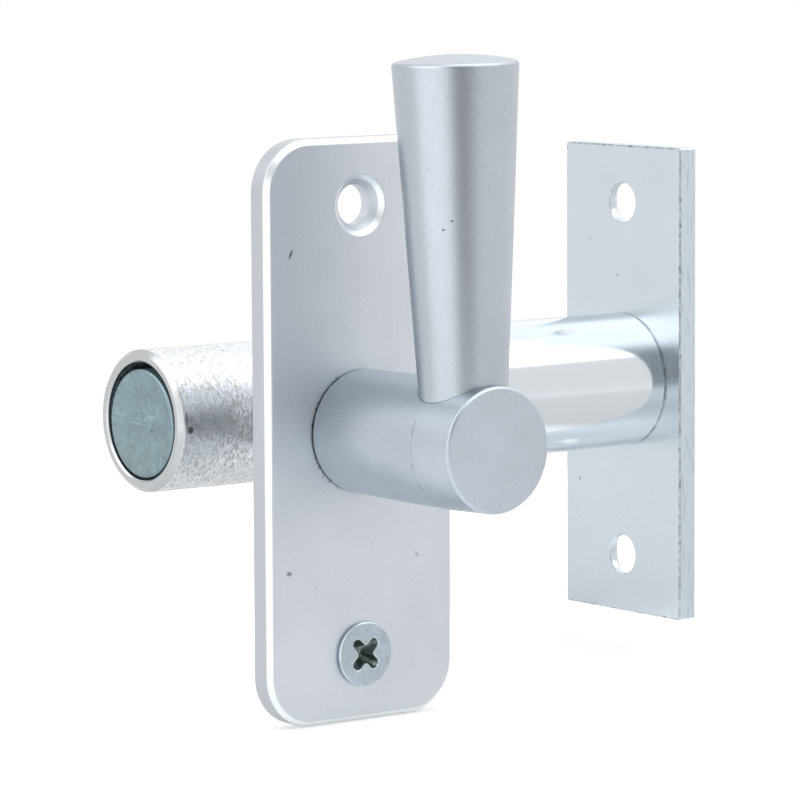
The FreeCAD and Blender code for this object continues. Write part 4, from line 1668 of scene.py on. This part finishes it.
@dataclass
class MortiseCase:
    """The tube, the forend plate and the bushes in the tube's wall."""

    shop: Workshop
    end_x: float = -109.396
    bore_r: float = 10.35
    spigot_r: float = 11.5
    spigot_x: float = 3.75
    shoulder_ease: float = 0.07
    end_chamfer: float = 0.9
    bore_chamfer: float = 0.35
    cutter_reach: float = 25.0
    forend_w: float = 33.0
    forend_h: float = 88.0
    forend_t: float = 4.0
    corner_r: float = 0.45
    inner_bevel: float = 0.22
    outer_bevel: float = 0.3
    hole_r: float = 3.7
    hole_ease: float = 0.12
    sink_r: float = 6.3
    hole_z: float = 33.25
    bush_r: float = 8.0
    bush_spigot_r: float = 6.3
    bush_neck_y: float = -13.0
    bush_flare: float = 2.5
    bush_bore_r: float = 5.04
    bush_mouth_y: float = -19.2
    bush_inner_y: float = -10.3
    ring_groove: Triple = (-18.1, -17.28, 5.67)
    rear_r: float = 3.5
    rear_bore_r: float = 2.04
    rear_inner_y: float = 9.9
    rear_outer_y: float = 14.0
    wall_half: float = 8.0

    def build(self) -> None:
        """Build and dress every piece of the case."""
        self.tube()
        self.forend()
        self.front_bush()
        self.rear_bush()
        self.shop.dressed("pinion_ring", SPRING)

    def cross_hole(self, radius: float, y0: float, y1: float) -> bpy.types.Mesh:
        """A plain cutter through the tube's wall on the hub's axis."""
        outline = [(y0, 0.0), (y0, radius), (y1, radius), (y1, 0.0)]
        return self.shop.turned("cross_hole", outline, LAYOUT.on_axis(), Steps.HOLE)

    def tube(self) -> None:
        """Build the tube with its chamfered open end and its turned spigot."""
        end, outer, ease = self.end_x, LAYOUT.tube_r, self.shoulder_ease
        outline = [(end, self.bore_r + self.bore_chamfer), (end, outer - self.end_chamfer),
                   (end + self.end_chamfer, outer), (-ease, outer), (0.0, outer - ease),
                   (0.0, self.spigot_r), (self.spigot_x, self.spigot_r), (self.spigot_x, self.bore_r),
                   (end + self.bore_chamfer, self.bore_r)]
        outline = eased(outline, {0: 0.1, 1: 0.25, 2: 0.5, 6: 0.1, 7: 0.2, 8: 0.1}, closed=True)
        mesh = self.shop.turned("mortise_tube_fine", outline, Way.ALONG_X.matrix(), Steps.TUBE)
        gap, reach = LAYOUT.seat_gap, self.cutter_reach
        holes = [self.cross_hole(self.bush_spigot_r + gap, -reach, 0.0),
                 self.cross_hole(self.rear_r + gap, 0.0, reach)]
        mesh = self.shop.combined(mesh, holes)
        self.shop.finished("mortise_tube_fine", mesh, TUBE_BRIGHT, Body.CASE, ["mortise_tube"])

    def forend(self) -> None:
        """Build the forend plate with its tube hole and two holes countersunk outside."""
        face, inner, outer = self.forend_t, self.inner_bevel, self.outer_bevel
        along = Way.ALONG_X.matrix()
        side = [(3.0, 0.0), (inner, 0.0), (0.0, inner), (0.0, face - outer), (outer, face),
                (4.0, face)]
        side = eased(side, {1: 0.1, 2: 0.1, 3: 0.15, 4: 0.15}, steps=3)
        mesh = plate_mesh("forend_plate_fine", self.forend_w, self.forend_h, self.corner_r, side, 5)
        mesh.transform(along)
        seat_r = self.spigot_r + LAYOUT.seat_gap
        seat = [(-PAST, 0.0), (-PAST, seat_r), (face + PAST, seat_r), (face + PAST, 0.0)]
        cutters = [self.shop.turned("forend_bore", seat, along, Steps.TUBE)]
        sink = face - (self.sink_r - self.hole_r)
        mouth_r = self.hole_r + self.hole_ease
        hole = [(-PAST, 0.0), (-PAST, mouth_r), (0.0, mouth_r), (self.hole_ease, self.hole_r),
                (sink, self.hole_r), (face, self.sink_r), (face + PAST, self.sink_r),
                (face + PAST, 0.0)]
        hole = eased(hole, {3: 0.1, 4: 0.2})
        for z in (self.hole_z, -self.hole_z):
            cutters.append(self.shop.turned("forend_hole", hole, at(z=z) @ along, Steps.HOLE))
        mesh = self.shop.combined(mesh, cutters)
        self.shop.finished("forend_plate_fine", mesh, FOREND_BRIGHT, Body.CASE, ["forend_plate"])

    def front_bush(self) -> None:
        """Build the bush that carries the pinion, which widens outside the tube."""
        y0, y1, groove_r = self.ring_groove
        inner, outer, neck_r = self.bush_bore_r, self.bush_r, self.bush_spigot_r
        outline = [(self.bush_mouth_y, inner), (self.bush_mouth_y, outer),
                   (self.bush_neck_y - self.bush_flare, outer), (self.bush_neck_y, neck_r),
                   (self.bush_inner_y, neck_r), (self.bush_inner_y, inner),
                   (y1, inner), (y1, groove_r), (y0, groove_r), (y0, inner)]
        outline = eased(outline, {0: 0.2, 1: 0.3, 2: 0.6, 3: 0.4, 4: 0.15}, closed=True)
        mesh = self.shop.turned("spindle_bush_fine", outline, LAYOUT.on_axis())
        self.shop.finished("spindle_bush_fine", mesh, MACHINED, Body.CASE, ["spindle_bush"])

    def rear_bush(self) -> None:
        """Build the small bush in the tube's far wall, dressed flush outside."""
        inner_y, outer_y = self.rear_inner_y, self.rear_outer_y
        ring = [(inner_y, self.rear_bore_r), (inner_y, self.rear_r), (outer_y, self.rear_r),
                (outer_y, self.rear_bore_r)]
        ring = eased(ring, {}, closed=True)
        mesh = self.shop.turned("rear_bush_fine", ring, LAYOUT.on_axis(), Steps.SLIM)
        start, end = LAYOUT.axis_x - self.wall_half, LAYOUT.axis_x + self.wall_half
        tube = [(start, 0.0), (start, LAYOUT.tube_r), (end, LAYOUT.tube_r), (end, 0.0)]
        wall = self.shop.turned("wall", tube, Way.ALONG_X.matrix(), Steps.TUBE)
        mesh = self.shop.combined(mesh, [wall], Cut.SHARED)
        self.shop.finished("rear_bush_fine", mesh, BRASS, Body.CASE, ["rear_bush"])


@dataclass
class RackBolt:
    """The round bolt with the pocket and the rack that the pinion drives."""

    shop: Workshop
    tail_x: float = -109.146
    nose_x: float = 3.75
    radius: float = 9.5
    low: float = -0.45
    tail_chamfer: float = 0.3
    nose_chamfer: float = 1.2
    pocket_x: float = -105.866
    pocket_gap: float = 0.5
    pocket_back: float = 4.5
    cutter_reach: float = 12.0
    slot_r: float = 2.3
    slot_steps: int = 16
    teeth: int = 5
    tooth_front: float = 7.0
    tooth_sunk: float = 0.1

    def build(self) -> None:
        """Build the bolt and the row of teeth in its pocket."""
        tail, nose = self.tail_x, self.nose_x
        outline = [(tail, 0.0), (tail, self.radius - self.tail_chamfer),
                   (tail + self.tail_chamfer, self.radius), (nose - self.nose_chamfer, self.radius),
                   (nose, self.radius - self.nose_chamfer), (nose, 0.0)]
        outline = eased(outline, {1: 0.12, 2: 0.15, 3: 0.4, 4: 0.4})
        place = at(z=self.low) @ Way.ALONG_X.matrix()
        mesh = self.shop.turned("bolt_fine", outline, place, Steps.WIDE)
        tip = LAYOUT.pitch_r + LAYOUT.addendum + self.pocket_gap
        floor = -(LAYOUT.pitch_r + LAYOUT.dedendum)
        front = LAYOUT.axis_x + tip
        corners = [(self.pocket_x, floor), (front, floor), (front, tip), (self.pocket_x, tip)]
        pocket = prism("bolt_pocket", corners, -self.pocket_back, self.cutter_reach)
        pocket.transform(Way.FACE_OUT.matrix())
        slot = prism("bolt_slot", self.slot(), -self.cutter_reach, 0.0)
        slot.transform(Way.FACE_OUT.matrix())
        mesh = self.shop.combined(mesh, [pocket, slot])
        self.shop.finished("bolt_fine", mesh, BOLT_ZINC, Body.BOLT, ["bolt"])
        self.rack(floor)

    def slot(self) -> Outline:
        """The outline of the slot for the pinion's thin journal, round at both ends."""
        outline: Outline = []
        for x, start in ((LAYOUT.axis_x, -90.0), (LAYOUT.axis_x - LAYOUT.throw, 90.0)):
            for step in range(self.slot_steps + 1):
                angle = math.radians(start + 180 * step / self.slot_steps)
                outline.append((x + self.slot_r * math.cos(angle), self.slot_r * math.sin(angle)))
        return outline

    def rack(self, floor: float) -> None:
        """Build the rack's teeth on the pocket's floor.

        Args:
            floor: the pocket floor's height.
        """
        pitch = 2 * math.pi * LAYOUT.pitch_r / LAYOUT.pinion_teeth
        slope = math.tan(math.radians(LAYOUT.pressure_angle))
        crest = -(LAYOUT.pitch_r - LAYOUT.addendum)
        foot_half = pitch / 4 + LAYOUT.dedendum * slope
        crest_half = pitch / 4 - LAYOUT.addendum * slope
        first = LAYOUT.axis_x + pitch * (1.5 - self.teeth)
        root = floor - self.tooth_sunk
        corners = [(-foot_half, root), (foot_half, root), (foot_half, floor),
                   (crest_half, crest), (-crest_half, crest), (-foot_half, floor)]
        tooth = prism("rack_tooth", corners, -self.pocket_back - self.tooth_sunk, self.tooth_front)
        values = {"Count": self.teeth, "Pitch": pitch, "Turn": 0.0}
        teeth = outward(self.shop.rows.run("rack_teeth", tooth, values))
        teeth.transform(at(x=first) @ Way.FACE_OUT.matrix())
        self.shop.finished("rack_teeth", teeth, BOLT_ZINC, Body.BOLT, ["bolt"])


@dataclass
class Pinion:
    """The pinion with its journals and its involute teeth."""

    shop: Workshop
    inner_y: float = -9.54
    back_y: float = 4.0
    mouth_y: float = -17.15
    rear_y: float = 12.2
    journal_r: float = 5.0
    rear_r: float = 2.0
    socket_y: float = -11.14
    flank_steps: int = 5
    tooth_sunk: float = 0.2

    def half_angle(self, radius: float) -> float:
        """Half the angle that a tooth spans at a radius.

        Args:
            radius: distance from the pinion's axis.

        Returns:
            The angle in radians.
        """
        pressure = math.radians(LAYOUT.pressure_angle)
        here = math.acos(min(1.0, LAYOUT.pitch_r * math.cos(pressure) / radius))
        at_pitch = (math.pi - LAYOUT.backlash * 2) / (4 * LAYOUT.pitch_r)
        return at_pitch + (math.tan(pressure) - pressure) - (math.tan(here) - here)

    def build(self) -> None:
        """Build the journals with the square socket, and the ring of teeth."""
        root = LAYOUT.pitch_r - LAYOUT.dedendum
        outline = [(self.mouth_y, 0.0), (self.mouth_y, self.journal_r), (self.inner_y, self.journal_r),
                   (self.inner_y, root), (self.back_y, root), (self.back_y, self.rear_r),
                   (self.rear_y, self.rear_r), (self.rear_y, 0.0)]
        outline = eased(outline, {1: 0.15, 6: 0.2})
        place = LAYOUT.on_axis()
        mesh = self.shop.turned("pinion_fine", outline, place, Steps.HOLE)
        socket = prism("pinion_socket", square(LAYOUT.socket_side), self.mouth_y - PAST, self.socket_y)
        socket.transform(LAYOUT.leaned() @ place)
        mesh = self.shop.combined(mesh, [socket])
        self.shop.finished("pinion_fine", mesh, MACHINED, Body.HANDLE, ["pinion"])
        count = LAYOUT.pinion_teeth
        tooth = prism("pinion_tooth", self.tooth(root), self.inner_y, self.back_y)
        values = {"Count": count, "Pitch": 0.0, "Turn": 2 * math.pi / count}
        teeth = outward(self.shop.rows.run("pinion_teeth", tooth, values))
        teeth.transform(place)
        self.shop.finished("pinion_teeth", teeth, MACHINED, Body.HANDLE, ["pinion"])

    def tooth(self, root: float) -> Outline:
        """The outline of one tooth, with involute flanks and its foot sunk into the shaft.

        Args:
            root: the shaft's radius between the teeth.

        Returns:
            The closed outline.
        """
        base = LAYOUT.pitch_r * math.cos(math.radians(LAYOUT.pressure_angle))
        tip = LAYOUT.pitch_r + LAYOUT.addendum
        radii = [root - self.tooth_sunk]
        radii += [base + (tip - base) * i / self.flank_steps for i in range(self.flank_steps + 1)]
        flank = [(r, self.half_angle(max(r, base))) for r in radii]
        outline = [(r * math.cos(-a), r * math.sin(-a)) for r, a in flank]
        return outline + [(r * math.cos(a), r * math.sin(a)) for r, a in reversed(flank)]


@dataclass(frozen=True)
class Softbox:
    """An area lamp: where it hangs as seen from the part, its size and its radiance."""

    name: str
    azimuth: float
    elevation: float
    distance: float
    size: tuple[float, float]
    level: float


@dataclass(frozen=True)
class Patch:
    """A patch of the room with a level of its own. Each edge fades between two angles, in degrees."""

    left: tuple[float, float]
    right: tuple[float, float]
    low: tuple[float, float]
    high: tuple[float, float] | None
    level: float
    slant: float = 0.0


@dataclass(frozen=True)
class Glint:
    """A soft pale spot on the floor that only reflections see."""

    centre: tuple[float, float]
    half: Triple
    level: float


@dataclass
class Studio:
    """The camera at the photograph's view, the pale floor, the world and the lamps."""

    azimuth: float = -37.2653
    elevation: float = 6.27
    roll: float = -0.2966
    distance: float = 0.84222
    lens: float = 209.121
    aim: Triple = (-0.052555, 0.0, -0.000293)
    floor_z: float = -0.0502
    floor_r: float = 0.3
    floor_steps: int = 96
    floor_tone: float = 0.56
    floor_glow: float = 0.5
    glints: tuple[Glint, ...] = (
        Glint((-12.0, -5.0), (48.0, 42.0, 20.0), 0.55),
        Glint((-35.0, -32.0), (55.0, 22.0, 20.0), 0.15),
    )
    high_level: float = 0.91
    low_level: float = 0.99
    patches: tuple[Patch, ...] = (
        Patch((-53, -46), (-22, 10), (-45, -25), (42, 52), level=0.35, slant=0.43),
        Patch((62, 80), (160, 172), (6, 20), None, level=1.2),
    )
    boxes: tuple[Softbox, ...] = (
        Softbox("overhead", 40.0, 66.0, 0.9, (1.0, 1.2), 0.95),
        Softbox("left", -80.0, 7.0, 0.9, (1.08, 0.74), 0.62),
        Softbox("left_high", -98.0, 45.0, 0.9, (0.96, 0.6), 1.1),
    )

    def build(self) -> None:
        """Set up the camera, the world, the floor and the lamps."""
        bpy.context.scene.view_settings.view_transform = "Standard"
        self.camera()
        self.world()
        self.floor()
        for box in self.boxes:
            self.lamp(box)

    def toward(self, azimuth: float, elevation: float) -> Vector:
        """The direction to a place in the studio.

        Args:
            azimuth: degrees from -Y towards +X.
            elevation: degrees above the floor's plane.

        Returns:
            A unit vector.
        """
        a, e = math.radians(azimuth), math.radians(elevation)
        return Vector((math.sin(a) * math.cos(e), -math.cos(a) * math.cos(e), math.sin(e)))

    def camera(self) -> None:
        """Place the camera as fitted to the photograph's edges."""
        a, r = math.radians(self.azimuth), math.radians(self.roll)
        back = self.toward(self.azimuth, self.elevation)
        right = Vector((math.cos(a), math.sin(a), 0.0))
        up = back.cross(right)
        data = bpy.data.cameras.new("camera")
        data.sensor_width = 36.0
        data.lens = self.lens
        data.clip_start, data.clip_end = 0.01, 20.0
        camera = placed("camera", data)
        turned_right = right * math.cos(r) + up * math.sin(r)
        turned_up = up * math.cos(r) - right * math.sin(r)
        camera.matrix_world = Matrix((turned_right, turned_up, back)).transposed().to_4x4()
        camera.location = Vector(self.aim) + back * self.distance
        bpy.context.scene.camera = camera

    def world(self) -> None:
        """A white background, and for the metal a pale room that is dark behind the camera."""
        world = bpy.data.worlds.new("studio")
        world.use_nodes = True
        bpy.context.scene.world = world
        tree = world.node_tree
        back = tree.nodes["Background"]

        def step(value: Socket, *marks: float) -> Socket:
            """A smooth step: from low to high, the result goes from start to end."""
            made = tree.nodes.new("ShaderNodeMapRange")
            made.interpolation_type = "SMOOTHSTEP"
            tree.links.new(value, made.inputs["Value"])
            for name, mark in zip(("From Min", "From Max", "To Min", "To Max"), marks):
                made.inputs[name].default_value = mark
            return made.outputs[0]

        def join(operation: str, first: Socket, second: Socket | float) -> Socket:
            """A math node of two values."""
            made = tree.nodes.new("ShaderNodeMath")
            made.operation = operation
            tree.links.new(first, made.inputs[0])
            if isinstance(second, float):
                made.inputs[1].default_value = second
            else:
                tree.links.new(second, made.inputs[1])
            return made.outputs[0]

        place = tree.nodes.new("ShaderNodeTexCoord").outputs["Generated"]
        split = tree.nodes.new("ShaderNodeSeparateXYZ")
        tree.links.new(place, split.inputs[0])
        azimuth = join("ARCTAN2", split.outputs[0], join("MULTIPLY", split.outputs[1], -1.0))
        height = split.outputs[2]

        def sine(degrees: float) -> float:
            """The sine of an angle in degrees, which is the height of a direction."""
            return math.sin(math.radians(degrees))

        def share(patch: Patch) -> Socket:
            """How much of a patch's level shows in each direction."""
            slanted = join("ADD", azimuth, join("MULTIPLY", height, patch.slant))
            side = join("MULTIPLY", step(slanted, *map(math.radians, patch.left), 0.0, 1.0),
                        step(azimuth, *map(math.radians, patch.right), 1.0, 0.0))
            rise = step(height, *map(sine, patch.low), 0.0, 1.0)
            if patch.high:
                rise = join("MULTIPLY", rise, step(height, *map(sine, patch.high), 1.0, 0.0))
            return join("MULTIPLY", side, rise)

        level = step(height, sine(-9), sine(3), self.low_level, self.high_level)
        layers = [(share(patch), patch.level) for patch in self.patches]
        layers.append((tree.nodes.new("ShaderNodeLightPath").outputs["Is Camera Ray"], 1.0))
        for shown, other in layers:
            blend = tree.nodes.new("ShaderNodeMix")
            tree.links.new(shown, blend.inputs[0])
            tree.links.new(level, blend.inputs[2])
            blend.inputs[3].default_value = other
            level = blend.outputs[0]
        tree.links.new(level, back.inputs["Strength"])
        back.inputs["Color"].default_value = (1.0, 1.0, 1.0, 1.0)

    def floor(self) -> None:
        """A round pale floor that looks white and keeps the object's shadow."""
        board = Board("pale_floor")
        shader = board.shader
        tone = self.floor_tone
        shader.inputs["Base Color"].default_value = (tone, tone, tone, 1.0)
        shader.inputs["Roughness"].default_value = 0.9
        shader.inputs["Specular IOR Level"].default_value = 0.0
        path = board.node("ShaderNodeLightPath")
        glow = board.math("MULTIPLY", path.outputs["Is Camera Ray"], self.floor_glow)
        x, y, _ = board.parts(board.place)
        card = board.math("MULTIPLY", board.ramp(x, 0.0, -0.1, 0.1, 0.4),
                          board.ramp(y, 0.02, -0.03, 0.62, 0.92))
        for glint in self.glints:
            spot = board.spot((*glint.centre, self.floor_z / MM), glint.half)
            card = board.math("MULTIPLY_ADD", spot, glint.level, card)
        glow = board.math("MULTIPLY_ADD", path.outputs["Is Glossy Ray"], card, glow)
        shader.inputs["Emission Color"].default_value = (1.0, 1.0, 1.0, 1.0)
        board.feed(shader.inputs["Emission Strength"], glow)
        rim = []
        for step in range(self.floor_steps):
            angle = 2 * math.pi * step / self.floor_steps
            rim.append((self.aim[0] + self.floor_r * math.cos(angle),
                        self.floor_r * math.sin(angle), self.floor_z))
        mesh = bpy.data.meshes.new("floor")
        mesh.from_pydata(rim, [], [tuple(range(self.floor_steps))])
        mesh.materials.append(board.material)
        placed("floor", mesh)

    def lamp(self, box: Softbox) -> None:
        """Hang one softbox, turned to the part.

        Args:
            box: its place, size and level.
        """
        data = bpy.data.lights.new(box.name, "AREA")
        data.shape = "RECTANGLE"
        data.size, data.size_y = box.size
        data.energy = box.level * math.pi * box.size[0] * box.size[1]
        lamp = placed(box.name, data)
        away = self.toward(box.azimuth, box.elevation)
        lamp.location = Vector(self.aim) + away * box.distance
        lamp.rotation_euler = away.to_track_quat("Z", "Y").to_euler()


def main() -> None:
    """Build the sub-assemblies in order and report each piece."""
    logging.basicConfig(level=logging.INFO, format="%(name)s: %(message)s")
    shop = Workshop()
    MortiseCase(shop).build()
    RackBolt(shop).build()
    Pinion(shop).build()
    FrontPlate(shop).build()
    Handle(shop).build()
    Studio().build()
    log.info("%d pieces, %d faces", len(shop.faces), sum(shop.faces))


if __name__ == "__main__":
    main()
